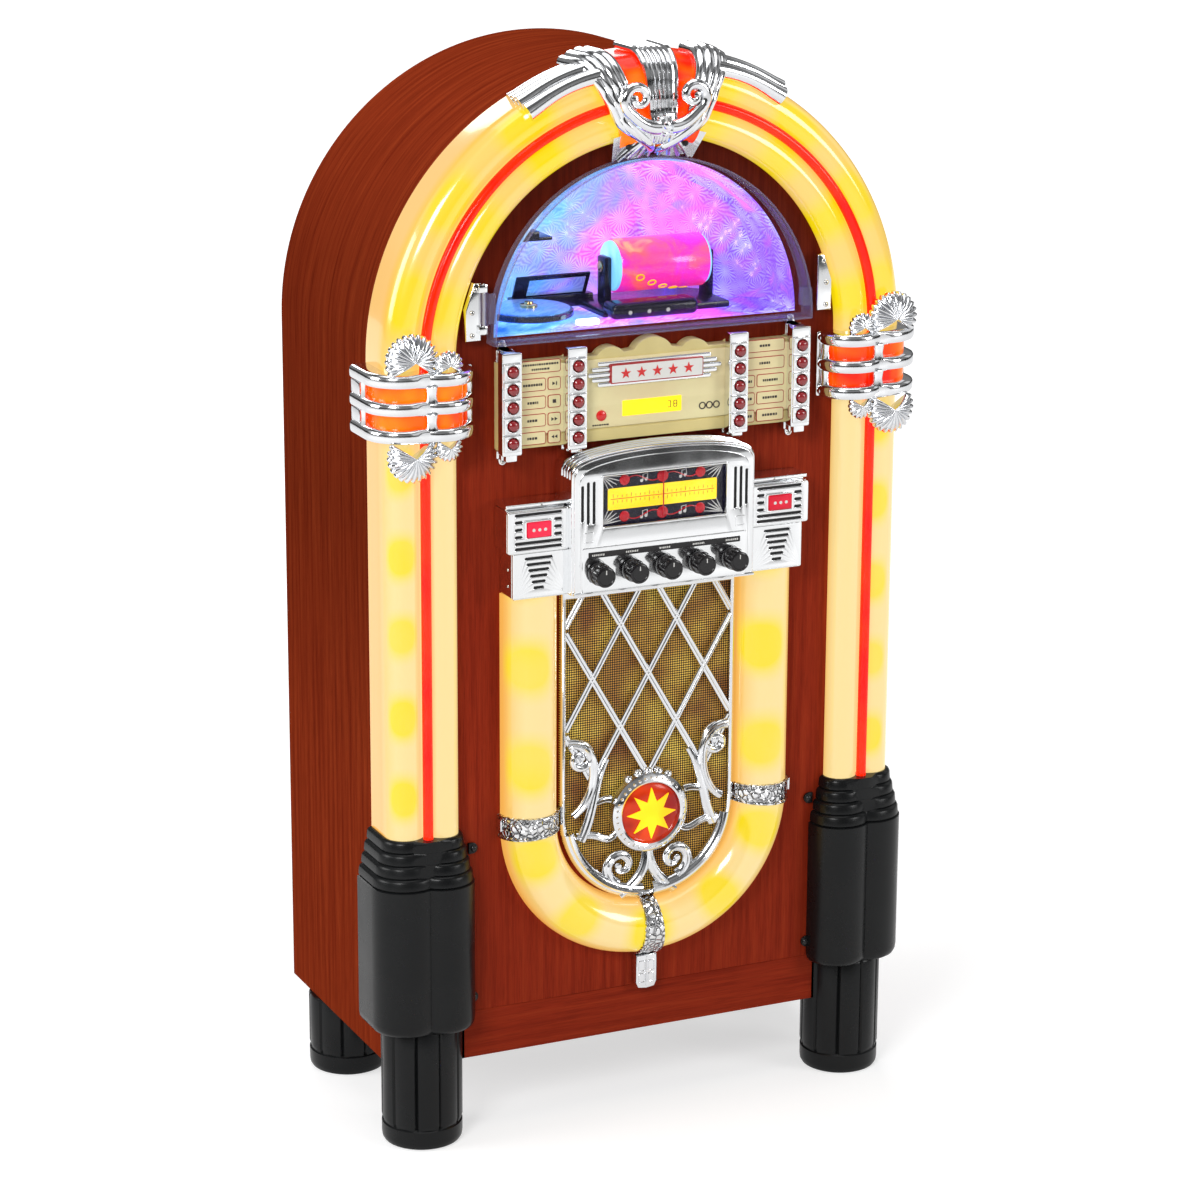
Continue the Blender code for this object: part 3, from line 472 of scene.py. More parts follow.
# The two columns' copies differ only in where the spots sit round the tube, each turned towards the camera:
# painted glow.
M_COLUMNS = {-1: lit_column("lit_column_left", 1.18), 1: lit_column("lit_column_right", 1.95)}
M_ARCH = lit_plastic(
    "lit_arch", 0.106, 0.03, ARCH_GLOW, 1.2, 0.82, (around_tube(1.8), around_tube(1.2), ARCH_LENGTH), 0.020,
    TUBE_DEPTHS, 0.62
)
M_U = lit_plastic(
    "lit_u", 0.100, 0.030, CREAM_GLOW, 1.5, 0.80, (U_TUBE * 2.00, U_TUBE * 1.14, U_LENGTH), 0.030,
    (-0.006, -0.026)
)
M_ROD = lit_lens("lit_rod", (0.85, 0.003, 0.001), (1.0, 0.018, 0.001), 0.85)
M_LENS = lit_lens("lit_lens", (0.72, 0.012, 0.001), (1.0, 0.17, 0.002), 0.78)
M_BLACK = satin_plastic("black_satin", (0.0050, 0.0055, 0.006), 0.27, 0.10, 700, 0.0, 0.24)
M_GLOSS = satin_plastic("black_gloss", (0.010, 0.009, 0.010), 0.24, 0.03, 400, 0.15, 0.35)
M_BACK = back_board_finish()
M_CREAM = satin_plastic("cream_panel", (0.72, 0.60, 0.26), 0.34, 0.03)
M_LABEL = satin_plastic("label_cream", (0.86, 0.72, 0.40), 0.45, 0.03)
M_RED_LINE = satin_plastic("red_line", (0.42, 0.012, 0.012), 0.4, 0.02)
M_INK = satin_plastic("ink", (0.03, 0.02, 0.02), 0.5, 0.02)
M_WHITE = satin_plastic("white_print", (0.85, 0.84, 0.80), 0.35, 0.02)
M_KEY = satin_plastic("key_red", (0.30, 0.012, 0.016), 0.14, 0.02, 300, 0.8)
M_SWITCH = lit_lens("switch_red", (0.50, 0.006, 0.02), (0.78, 0.02, 0.06), 0.5)
M_LCD = lit_lens("lcd_yellow", (0.98, 0.70, 0.008), (1.0, 0.80, 0.02), 0.75)
M_SCALE = lit_lens("scale_yellow", (0.95, 0.62, 0.01), (1.0, 0.78, 0.04), 0.7)
M_RED_DOT = satin_plastic("red_dot", (0.72, 0.010, 0.010), 0.25, 0.02, 300, 0.4)
M_JEWEL = lit_lens("jewel_red", (0.30, 0.006, 0.004), (0.80, 0.06, 0.008), 0.35)
M_STAR = lit_lens("star_yellow", (0.95, 0.50, 0.004), (1.0, 0.78, 0.01), 0.65)
M_CLOTH = speaker_cloth()
M_CLEAR = clear_plastic("clear_acrylic", (0.05, 0.04, 0.20), 0.04)
M_CLEAR_EDGE = clear_plastic("clear_edge", (0.30, 0.27, 0.42), 0.26)
# The foil finishes glow as painted light; the mirror shows the foil as a painted reflection.
M_FOIL = star_foil("star_foil", 1.05)
M_TABLE = star_foil("star_table", 0.30)
M_DRUM = swirl_print()
M_DRUM_END = lit_lens("drum_end", (0.20, 0.55, 0.95), (0.45, 0.80, 1.0), 0.9)
M_DISC = grooved_disc()
M_BRASS = chrome("brass", (0.78, 0.52, 0.18), 0.16)
M_MIRROR = star_foil("mirror_foil", 0.45)
M_LED = lit_lens("led_white", (0.55, 0.80, 1.0), (0.85, 0.95, 1.0), 6.0)
M_SCREW = chrome("screw_steel", (0.70, 0.69, 0.66), 0.18)
M_STEEL = chrome("speaker_steel", (0.35, 0.35, 0.36), 0.35)


# ---------------------------------------------------------------- mesh building
def arc(cx, cz, radius, start_deg, end_deg, steps):
    angles = [math.radians(start_deg + (end_deg - start_deg) * i / steps) for i in range(steps + 1)]
    return [(cx + radius * math.cos(a), cz + radius * math.sin(a)) for a in angles]


def rounded(x0, z0, x1, z1, radius, steps=5):
    """A rectangle with round corners, anticlockwise."""
    points = []
    for cx, cz, start in ((x1, z0, 270), (x1, z1, 0), (x0, z1, 90), (x0, z0, 180)):
        sx = -radius if cx == x1 else radius
        sz = radius if cz == z0 else -radius
        points += arc(cx + sx, cz + sz, radius, start, start + 90, steps)
    return points


def half_disc(radius, low, lift=0.0, steps=72):
    start = math.degrees(math.asin(lift / radius))
    return arc(0, low, radius, start, 180 - start, steps)


def circle(cx, cz, radius, steps=32):
    angles = [2 * math.pi * i / steps for i in range(steps)]
    return [(cx + radius * math.cos(a), cz + radius * math.sin(a)) for a in angles]


class Piece:
    """Gathers the solids of one piece, each with its own finish."""

    def __init__(self, name):
        self.name, self.bm, self.finishes = name, bmesh.new(), []
        self.bm.loops.layers.uv.new("UVMap")

    def take(self, bm, finish, matrix=None):
        """Adds a closed part, in the local frame."""
        if finish not in self.finishes:
            self.finishes.append(finish)
        bmesh.ops.remove_doubles(bm, verts=bm.verts, dist=1e-6)
        bmesh.ops.recalc_face_normals(bm, faces=bm.faces)
        for face in bm.faces:
            face.material_index = self.finishes.index(finish)
        mesh = bpy.data.meshes.new("part")
        bm.to_mesh(mesh)
        bm.free()
        if matrix:
            mesh.transform(matrix)
        self.bm.from_mesh(mesh)
        bpy.data.meshes.remove(mesh)
        return self

    def loft(self, rings, finish, closed=False, capped=True):
        """Skins a row of rings of points. Its map runs along the rings, then around them."""
        bm = bmesh.new()
        uv = bm.loops.layers.uv.new("UVMap")
        rows = [[bm.verts.new(p) for p in ring] for ring in rings]
        count = len(rows[0])
        along, around = [0.0], [0.0]
        for a, b in zip(rings, rings[1:]):
            along.append(along[-1] + max(math.dist(p, q) for p, q in zip(a, b)))
        middle = rings[len(rings) // 2]
        for i in range(count):
            around.append(around[-1] + math.dist(middle[i], middle[(i + 1) % count]))
        spans = list(zip(range(len(rows)), range(1, len(rows)))) + ([(len(rows) - 1, 0)] if closed else [])
        for a, b in spans:
            for i in range(count):
                j = (i + 1) % count
                corners = (rows[a][i], rows[a][j], rows[b][j], rows[b][i])
                face = bm.faces.new(corners)
                end = along[b] if b else along[-1]
                places = (
                    (along[a], around[i]), (along[a], around[i + 1]), (end, around[i + 1]), (end, around[i]),
                )
                for loop, spot in zip(face.loops, places):
                    loop[uv].uv = spot
        if capped and not closed:
            bm.faces.new(rows[0])
            bm.faces.new(rows[-1])
        return self.take(bm, finish)

    def block(self, low, high, finish, edge=0.0, segments=2, matrix=None):
        low, high = Vector(low), Vector(high)
        bm = bmesh.new()
        bmesh.ops.create_cube(bm, size=1.0)
        bmesh.ops.scale(bm, vec=high - low, verts=bm.verts)
        bmesh.ops.translate(bm, vec=(low + high) / 2, verts=bm.verts)
        if edge:
            bmesh.ops.bevel(bm, geom=bm.edges[:], offset=edge, segments=segments, affect="EDGES", profile=0.5)
        return self.take(bm, finish, matrix)

    def turned(self, profile, centre, finish, axis=(0, -1, 0), steps=32):
        """A profile of (radius, height) turned about an axis through centre, which heights run along."""
        turn = Vector(axis).to_track_quat("Z", "Y").to_matrix()
        rings = []
        for radius, height in profile:
            ring = []
            for i in range(steps):
                a = 2 * math.pi * i / steps
                spot = turn @ Vector(
                    (max(radius, 1e-7) * math.cos(a), max(radius, 1e-7) * math.sin(a), height)
                )
                ring.append(Vector(centre) + spot)
            rings.append(ring)
        return self.loft(rings, finish)

    def rod(self, points, radius, finish, sides=10, closed=False, flat=1.0, up=None):
        """A round or flattened bar along a path. The radius is one value or one for each point."""
        points = [Vector(p) for p in points]
        sizes = radius if isinstance(radius, (list, tuple)) else [radius] * len(points)
        rings, normal = [], None
        for i, point in enumerate(points):
            before = points[i - 1] if i or closed else point
            after = points[(i + 1) % len(points)] if i < len(points) - 1 or closed else point
            tangent = (after - before).normalized()
            if up is not None:
                normal = Vector(up) - tangent * tangent.dot(Vector(up))
            elif normal is None:
                normal = tangent.orthogonal()
            else:
                normal = normal - tangent * tangent.dot(normal)
            normal.normalize()
            side = tangent.cross(normal)
            ring = []
            for k in range(sides):
                a = 2 * math.pi * k / sides
                ring.append(
                    point + side * (sizes[i] * math.cos(a)) + normal * (sizes[i] * flat * math.sin(a))
                )
            rings.append(ring)
        return self.loft(rings, finish, closed)

    def plate(self, outline, y_front, y_back, finish, holes=(), edge=0.0):
        """A flat outline of (x, z) points between two depths, with holes and round edges. Maps by (z, x)."""
        curve = bpy.data.curves.new("outline", "CURVE")
        curve.dimensions = "2D"
        curve.fill_mode = "BOTH"
        curve.extrude = (y_back - y_front) / 2 - edge
        if edge:
            curve.bevel_depth, curve.bevel_resolution, curve.offset = edge, 2, -edge
        for ring in (anticlockwise(outline), *(anticlockwise(h)[::-1] for h in holes)):
            spline = curve.splines.new("POLY")
            spline.points.add(len(ring) - 1)
            for place, point in zip(spline.points, ring):
                place.co = (point[0], point[1], 0, 1)
            spline.use_cyclic_u = True
        guide = bpy.data.objects.new("outline", curve)
        bpy.context.scene.collection.objects.link(guide)
        bpy.context.view_layer.update()
        mesh = bpy.data.meshes.new_from_object(guide.evaluated_get(bpy.context.evaluated_depsgraph_get()))
        bpy.data.objects.remove(guide)
        mesh.transform(
            Matrix.Translation((0, (y_front + y_back) / 2, 0)) @ Matrix.Rotation(math.pi / 2, 4, "X")
        )
        bm = bmesh.new()
        bm.from_mesh(mesh)
        bpy.data.meshes.remove(mesh)
        uv = bm.loops.layers.uv.get("UVMap") or bm.loops.layers.uv.new("UVMap")
        for face in bm.faces:
            for loop in face.loops:
                loop[uv].uv = (loop.vert.co.z, loop.vert.co.x)
        return self.take(bm, finish)

    def done(self, replaces=(), slot=None, body=BODY, angle=32):
        """Makes the object: moved to the world's frame, smooth except at sharp edges, riding on its body."""
        mesh = bpy.data.meshes.new(self.name)
        self.bm.to_mesh(mesh)
        self.bm.free()
        mesh.transform(Matrix.Translation((0, FRONT, 0)))
        for finish in self.finishes:
            mesh.materials.append(finish)
        mesh.shade_smooth()
        mesh.set_sharp_from_angle(angle=math.radians(angle))
        obj = bpy.data.objects.new(self.name, mesh)
        bpy.context.scene.collection.objects.link(obj)
        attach(obj, body)
        if replaces:
            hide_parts(*replaces)
        return obj


def anticlockwise(points):
    points = list(points)
    area = sum(a[0] * b[1] - b[0] * a[1] for a, b in zip(points, points[1:] + points[:1]))
    return points if area > 0 else points[::-1]


def screw(piece, x, y, z, radius=0.0028, axis=(0, -1, 0), finish=None, tilt=0.3):
    """A domed cross-head screw that stands on the surface at that point."""
    dome = [
        (radius, 0), (radius, radius * 0.25), (radius * 0.8, radius * 0.52), (radius * 0.45, radius * 0.68),
        (0, radius * 0.72),
    ]
    piece.turned(dome, (x, y, z), finish or M_SCREW, axis, 20)
    turn = Vector(axis).to_track_quat("Z", "Y").to_matrix().to_4x4()
    # the cross slot is a dark bar: painted shade in its recess
    for spin in (tilt, tilt + math.pi / 2):
        seat = Matrix.Translation((x, y, z)) @ turn @ Matrix.Rotation(spin, 4, "Z")
        long, short = radius * 0.55, radius * 0.10
        low, high = (-long, -short, radius * 0.55), (long, short, radius * 0.74)
        piece.block(low, high, M_DARK_GAP, matrix=seat)


# ---------------------------------------------------------------- the light tubes' section
def tube_side(grow, valley, wrap=WRAP, steps=14):
    """The two-lobed face of the front edge, from the cabinet's side to the front panel, grown outwards."""
    wide_x, wide_y, wide_r = OUTER_TUBE
    slim_x, slim_y, slim_r = INNER_TUBE
    wide, slim = wide_r + grow, slim_r + grow
    apart = math.hypot(wide_x - slim_x, wide_y - slim_y)
    lean = math.degrees(math.atan2(slim_y - wide_y, slim_x - wide_x))
    wide_share, slim_share = (valley - wide_y) / wide, (valley - slim_y) / slim
    leave = -180 - math.degrees(math.asin(max(wide_share, -1)))
    enter = math.degrees(math.asin(max(slim_share, -1)))
    along = (apart**2 + wide**2 - slim**2) / (2 * apart)
    shoulders = [(ROD[0] + 0.0065, valley), (ROD[0] - 0.0065, valley)]
    if along < wide:
        meet = lean + math.degrees(math.acos(along / wide))
        if wide_y + wide * math.sin(math.radians(meet)) < valley:
            leave = meet
            enter = lean + 180 - math.degrees(math.acos((apart - along) / slim))
            middle = (
                wide_x + wide * math.cos(math.radians(meet)), wide_y + wide * math.sin(math.radians(meet)),
            )
            shoulders = [middle, middle]
    if valley > -0.01:
        shoulders = [(ROD[0] + 0.003, valley), (ROD[0] - 0.003, valley)]
    foot = -180 - math.degrees(math.asin(-slim_y / slim))
    points = [(wide_x + wide, wrap), (wide_x + wide, wrap * 0.55)]
    points += arc(wide_x, wide_y, wide, 0, leave, steps)
    points += shoulders + arc(slim_x, slim_y, slim, enter, foot, steps)
    return points


def tube_block(grow, valley, wrap=WRAP):
    """The same face closed behind the panel."""
    return tube_side(grow, valley, wrap) + [(HALF - 0.006, 0.004), (HALF - 0.006, wrap)]


def on_column(points, side, z):
    return [(side * r, y, z) for r, y in points]


def on_arch(points, angle_deg):
    a = math.radians(angle_deg)
    return [(r * math.cos(a), y, ARCH_Z + r * math.sin(a)) for r, y in points]


def route(points, low, steps=120):
    """The section carried up the right column, over the arch and down the left column."""
    rings = [on_column(points, 1, low + (ARCH_Z - low) * i / 8) for i in range(8)]
    rings += [on_arch(points, 180 * i / steps) for i in range(steps + 1)]
    rings += [on_column(points, -1, ARCH_Z + (low - ARCH_Z) * (i + 1) / 8) for i in range(8)]
    return rings


def name_side(stem, side):
    return f"{stem}_{'left' if side < 0 else 'right'}"


# ---------------------------------------------------------------- cabinet
def arch_line(half, low, steps=96):
    return [(half, low), *arc(0, ARCH_Z, half, 0, 180, steps), (-half, low)]


def make_cabinet():
    """The veneered wrap, the front board as one board, the bottom rail and the guessed back board."""
    edge = 0.0012
    inside = HALF - WOOD
    section = [
        (inside, 0.0), (HALF - edge, 0.0), (HALF, edge), (HALF, DEPTH - edge), (HALF - edge, DEPTH),
        (inside, DEPTH),
    ]
    rings = [[(r, y, BOTTOM + (ARCH_Z - BOTTOM) * i / 10) for r, y in section] for i in range(10)]
    rings += [on_arch(section, 180 * i / 96) for i in range(97)]
    rings += [[(-r, y, ARCH_Z - (ARCH_Z - BOTTOM) * (i + 1) / 10) for r, y in section] for i in range(10)]
    Piece("cabinet_wrap").loft(rings, M_SIDE).done(["cabinet_shell"], "wood")

    fit = HALF - WOOD - 0.0004
    panel = Piece("front_board")
    window = half_disc(NICHE_R + 0.0006, NICHE_Z, 0.0)
    speaker_hole = circle(0, SPEAKER_Z, 0.072, 48)
    panel.plate(arch_line(fit, RAIL_TOP + 0.0004), 0, WOOD, M_FRONT, [window, speaker_hole])
    panel.done(["front_panel", "front_panel_top"], "wood")
    rail = Piece("bottom_rail")
    section = ((0, BOTTOM), (0, RAIL_TOP - 0.0006), (0.0006, RAIL_TOP), (WOOD, RAIL_TOP), (WOOD, BOTTOM))
    rail.loft([[(x, y, z) for y, z in section] for x in (-fit, fit)], M_FRONT).done((), "wood")

    back = Piece("back_board")
    slots = [rounded(-0.08, 0.50 + 0.018 * k, 0.08, 0.505 + 0.018 * k, 0.0024) for k in range(6)]
    inlet = rounded(-0.200, 0.150, -0.172, 0.170, 0.002)
    vent_rings = [circle(0.02 * (i - 4), 0.70 + 0.02 * j, 0.0055, 14) for i in range(9) for j in range(3)]
    back.plate(arch_line(fit, BOTTOM), DEPTH - 0.008, DEPTH - 0.0024, M_BACK, [*slots, inlet, *vent_rings])
    for x in (-0.235, 0, 0.235):
        for z in (BOTTOM + 0.02, 0.42, ARCH_Z - 0.02):
            screw(back, x, DEPTH - 0.0026, z, 0.0032, (0, 1, 0), tilt=0.5 + x)
    for angle in (45, 90, 135):
        x, z = arc(0, ARCH_Z, fit - 0.02, angle, angle, 1)[0]
        screw(back, x, DEPTH - 0.0026, z, 0.0032, (0, 1, 0))
    back.done(["back_panel"], "black_plastic")
    socket = Piece("mains_socket")
    socket.plate(rounded(-0.1995, 0.1505, -0.1725, 0.1695, 0.002), DEPTH - 0.030, DEPTH - 0.0012, M_GLOSS,
                 [rounded(-0.197, 0.153, -0.175, 0.167, 0.002)])
    socket.block((-0.1985, DEPTH - 0.031, 0.1515), (-0.1735, DEPTH - 0.026, 0.1685), M_GLOSS)
    for x in (-0.190, -0.182):
        socket.block((x - 0.0006, DEPTH - 0.027, 0.157), (x + 0.0006, DEPTH - 0.012, 0.163), M_BRASS)
    socket.done((), "black_plastic")


def leg_ring(x, y, z, radius, groove, flutes=10, steps=120):
    ring = []
    for i in range(steps):
        a = 2 * math.pi * i / steps
        phase = (i * flutes / steps + 0.35) % 1.0
        cut = groove if min(phase, 1 - phase) < 0.055 else 0.0
        r = radius - cut + (0.0009 * (math.cos((phase - 0.5) * math.pi) - 1) if groove else 0.0)
        ring.append((x + r * math.cos(a), y + r * math.sin(a), z))
    return ring


def make_legs():
    """Fluted round legs. The front ones stop short of the cabinet's corner."""
    for front in (True, False):
        for side in (-1, 1):
            node_name = name_side("leg_front" if front else "leg_back", side)
            x, y = side * LEG_X, LEG_FRONT_Y if front else LEG_BACK_Y
            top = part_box(node_name)[1][2] - (0.0 if front else 0.0002)
            levels = [
                (0.0, 0.005, 0), (0.0012, 0.0025, 0), (0.004, 0.0008, 0), (0.008, 0.0003, 0),
                (0.0195, 0.0003, 0),
                (0.0205, 0.0016, 0), (0.0215, 0.0012, 0.0016), (0.026, 0, 0.0020), (top - 0.002, 0, 0.0020),
                (top, 0.001, 0.0016),
            ]
            rings = [leg_ring(x, y, z, LEG_R - inset, groove) for z, inset, groove in levels]
            if front:
                rings = [
                    [keep_outside(p) if p[2] > BOTTOM - 0.003 else p for p in ring]
                    for ring in split_at(rings, BOTTOM)
                ]
            Piece(node_name + "_fluted").loft(rings, M_BLACK).done([node_name], "black_plastic")


def split_at(rings, z):
    """Adds two rings, just under and just over a height, to a stack of level rings."""
    for i, (a, b) in enumerate(zip(rings, rings[1:])):
        if a[0][2] < z < b[0][2]:
            extra = [[(p[0], p[1], level) for p in b] for level in (z - 0.0005, z + 0.0001)]
            return rings[: i + 1] + extra + rings[i + 1:]
    return rings


def keep_outside(point):
    """Moves a front leg's point that is inside the cabinet's corner to just before the front panel."""
    x, y, z = point
    if z > BOTTOM - 0.0004 and abs(x) < HALF + 0.0003 and y > -0.0003:
        return (x, -0.0003, z)
    return point


def make_boots():
    """Ringed black boots that the light columns stand in."""
    low, high = BOOT_LOW, BOOT_HIGH
    levels = [
        (low, 0.0105), (low + 0.0015, 0.0130), (low + 0.005, 0.0148), (low + 0.010, 0.0155),
        (high - 0.0490, 0.0155),
    ]
    for k in range(4):
        z, grow = high - 0.048 + 0.012 * k, 0.0142 - 0.0030 * k
        levels += [
            (z, grow - 0.0012), (z + 0.0012, grow), (z + 0.0085, grow - 0.0006), (z + 0.0106, grow - 0.0018),
            (z + 0.0116, grow - 0.0034),
        ]
    for side in (-1, 1):
        boot = Piece(name_side("boot", side) + "_shell")
        boot.loft(
            [on_column(tube_block(g, SLEEVE_VALLEY + max(0, 0.0155 - g) * -0.2), side, z) for z, g in levels],
            M_BLACK,
        )
        seam = side * 0.2347
        boot.block((seam - 0.0006, -0.0292, low + 0.012), (seam + 0.0006, -0.0272, high - 0.050), M_DARK_GAP)
        for z in (high - 0.022, low + 0.022):
            x = side * 0.1835
            ear = [
                (x + side * 0.004, z - 0.0055), (x + side * 0.004, z + 0.0055),
                *arc(x, z, 0.0055, 90, 90 + side * 180, 12),
            ]
            boot.plate(ear, -0.0032, -0.0003, M_BLACK, (), 0.0006)
            screw(boot, x - side * 0.001, -0.0032, z, 0.0032, finish=M_GLOSS)
        boot.done([name_side("boot", side)], "black_plastic")


# ---------------------------------------------------------------- light tubes
def make_light_tubes():
    """The two columns, the arch over them and the red rod in the valley between the tubes."""
    wall = tube_side(0, COVER_VALLEY) + list(reversed(tube_side(-0.0025, COVER_VALLEY + 0.0025)))
    arch = [on_column(wall, 1, JOINT_Z + (ARCH_Z - JOINT_Z) * i / 3) for i in range(3)]
    arch += [on_arch(wall, 180 * i / 120) for i in range(121)]
    arch += [on_column(wall, -1, ARCH_Z - (ARCH_Z - JOINT_Z) * (i + 1) / 3) for i in range(3)]
    Piece("arch_cover").loft(arch, M_ARCH).done(["arch_light_cover"], "cream_diffuser")
    low = BOOT_HIGH - 0.03
    for side in (-1, 1):
        steps = 24
        rings = [on_column(wall, side, low + (JOINT_Z - 0.0003 - low) * i / steps) for i in range(steps + 1)]
        node_name = name_side("column_light_cover", side)
        column = Piece(name_side("column_cover", side)).loft(rings, M_COLUMNS[side])
        column.done([node_name], "cream_diffuser")
    section = arc(*ROD, 0, 345, 23)
    Piece("red_light_rod").loft(route(section, low), M_ROD).done(["red_rod"], "red_rod")


# ---------------------------------------------------------------- clamps
def scallop(piece, x, y, z, radius, way, ribs, bulge):
    """A half-round shell with raised ribs that spread from its foot, upwards (way 1) or downwards (-1)."""
    turns, steps = ribs * 8, 10
    front = []
    for i in range(turns + 1):
        a = math.radians(-35 + 250 * i / turns)
        wave = abs(math.sin(ribs * math.pi * i / turns)) ** 0.7
        line = []
        for k in range(steps + 1):
            share = k / steps
            r = radius * share * (0.90 + 0.10 * wave)
            dome = math.cos(share * math.pi / 2) ** 0.7 * 0.75 + 0.25 * (1 - share)
            lift = bulge * dome + 0.10 * radius * wave * min(1, share * 1.6)
            line.append((x + r * math.cos(a), y - lift, z + way * r * math.sin(a)))
        front.append(line)
    bm = bmesh.new()
    bm.loops.layers.uv.new("UVMap")
    rows = [[bm.verts.new(p) for p in line] for line in front]
    back = [[bm.verts.new((p[0], y + 0.002, p[2])) for p in line] for line in front]
    for i in range(turns):
        for k in range(steps):
            bm.faces.new((rows[i][k], rows[i + 1][k], rows[i + 1][k + 1], rows[i][k + 1]))
            bm.faces.new((back[i][k], back[i][k + 1], back[i + 1][k + 1], back[i + 1][k]))
        bm.faces.new((rows[i][-1], rows[i + 1][-1], back[i + 1][-1], back[i][-1]))
    for i in (0, turns):
        for k in range(steps):
            bm.faces.new((rows[i][k], rows[i][k + 1], back[i][k + 1], back[i][k]))
    piece.take(bm, M_CAST)


def make_clamps():
    """Three plated bands, posts and shells round each column, over an amber lens."""
    low, high = CLAMP_LOW, CLAMP_HIGH
    for side in (-1, 1):
        clamp = Piece(name_side("clamp", side) + "_casting")
        for z0 in (low, low + 0.026, low + 0.052):
            z1 = z0 + 0.014
            profile = [
                (z0, 0.0095), (z0 + 0.0004, 0.0125), (z0 + 0.0015, 0.0155), (z0 + 0.0035, 0.0166),
                (z0 + 0.0070, 0.0168), (z1 - 0.0035, 0.0168), (z1 - 0.0015, 0.0155), (z1 - 0.0004, 0.0125),
                (z1, 0.0095),
            ]
            rings = []
            for z, grow in profile:
                valley = CLAMP_VALLEY - 0.002 - 0.2 * (grow - 0.0125)
                rings.append(on_column(tube_block(grow, valley, WRAP - 0.001), side, z))
            clamp.loft(rings, M_CAST)
        for z0 in (low + 0.0135, low + 0.0395):
            z1 = z0 + 0.013
            for x, y, half in ((0.2338, -0.0305, 0.0062), (0.1885, -0.008, 0.0046), (0.2842, 0.012, 0.0030)):
                points = [(side * x, y, z0 - 0.001), (side * x, y, (z0 + z1) / 2), (side * x, y, z1 + 0.001)]
                clamp.rod(points, [half, half * 0.8, half], M_CAST, 12, flat=0.75)
            clamp.block(
                *sorted_box(side * 0.2830, 0.019, z0, side * 0.2865, WRAP - 0.001, z1), M_CAST, 0.0008,
            )
        wide_x, slim_x = side * OUTER_TUBE[0], side * INNER_TUBE[0]
        for x, y, rise, radius, ribs in (
            (wide_x, -0.0262, 0.012, 0.026, 17), (slim_x, -0.0300, 0.006, 0.014, 11),
        ):
            scallop(clamp, x, y, high + rise, radius, 1, ribs, radius * 0.42)
            scallop(clamp, x, y, low - rise, radius - 0.001, -1, ribs, radius * 0.42)
        flange_x = side * 0.1868
        outline = rounded(flange_x - 0.0052, low + 0.001, flange_x + 0.0052, high - 0.001, 0.002)
        clamp.plate(outline, -0.0030, -0.0003, M_CAST, (), 0.0007)
        for z in (low + 0.0065, low + 0.033, high - 0.0065):
            clamp.turned(
                [(0.0042, 0), (0.0042, 0.002), (0.0034, 0.0038), (0, 0.0044)],
                (flange_x - side * 0.0005, -0.003, z), M_CAST,
            )
            screw(clamp, flange_x - side * 0.0005, -0.0070, z, 0.0022)
        clamp.done([name_side("clamp", side)], "chrome", angle=40)
        lens = Piece(name_side("clamp_lens", side) + "_sleeve")
        levels = (low + 0.004, low + 0.02, low + 0.033, low + 0.046, high - 0.004)
        lens.loft([on_column(tube_block(0.0070, -0.0240), side, z) for z in levels], M_LENS)
        lens.done([name_side("clamp_lens", side)], "amber_lens")


def sorted_box(x0, y0, z0, x1, y1, z1):
    low = tuple(min(a, b) for a, b in ((x0, x1), (y0, y1), (z0, z1)))
    high = tuple(max(a, b) for a, b in ((x0, x1), (y0, y1), (z0, z1)))
    return low, high


# ---------------------------------------------------------------- crown ornament
def sleeve_point(share, grow):
    """A point of (outwards, y) on the grown sleeve: share 0 is at the panel, 1 at the cabinet's side."""
    line = list(reversed(tube_side(grow, CLAMP_VALLEY - max(0.0, grow - 0.010), WRAP, 18)))
    lengths = [0.0]
    for a, b in zip(line, line[1:]):
        lengths.append(lengths[-1] + math.dist(a, b))
    want = share * lengths[-1]
    for i in range(1, len(line)):
        if lengths[i] >= want:
            span = lengths[i] - lengths[i - 1] or 1
            t = (want - lengths[i - 1]) / span
            return tuple(p + t * (q - p) for p, q in zip(line[i - 1], line[i]))
    return line[-1]


def over_arch(angle_deg, share, grow):
    r, y = sleeve_point(share, grow)
    a = math.radians(angle_deg)
    return (r * math.cos(a), y, ARCH_Z + r * math.sin(a))


def smooth_step(t):
    return t * t * (3 - 2 * t)


def curl_path(cx, cz, start_r, end_r, start_deg, turn_deg, steps=34, ease=0.8):
    """A flat path of (x, z) that winds into its centre."""
    points = []
    for i in range(steps + 1):
        t = i / steps
        r = start_r + (end_r - start_r) * t ** ease
        a = math.radians(start_deg + turn_deg * t)
        points.append((cx + r * math.cos(a), cz + r * math.sin(a)))
    return points


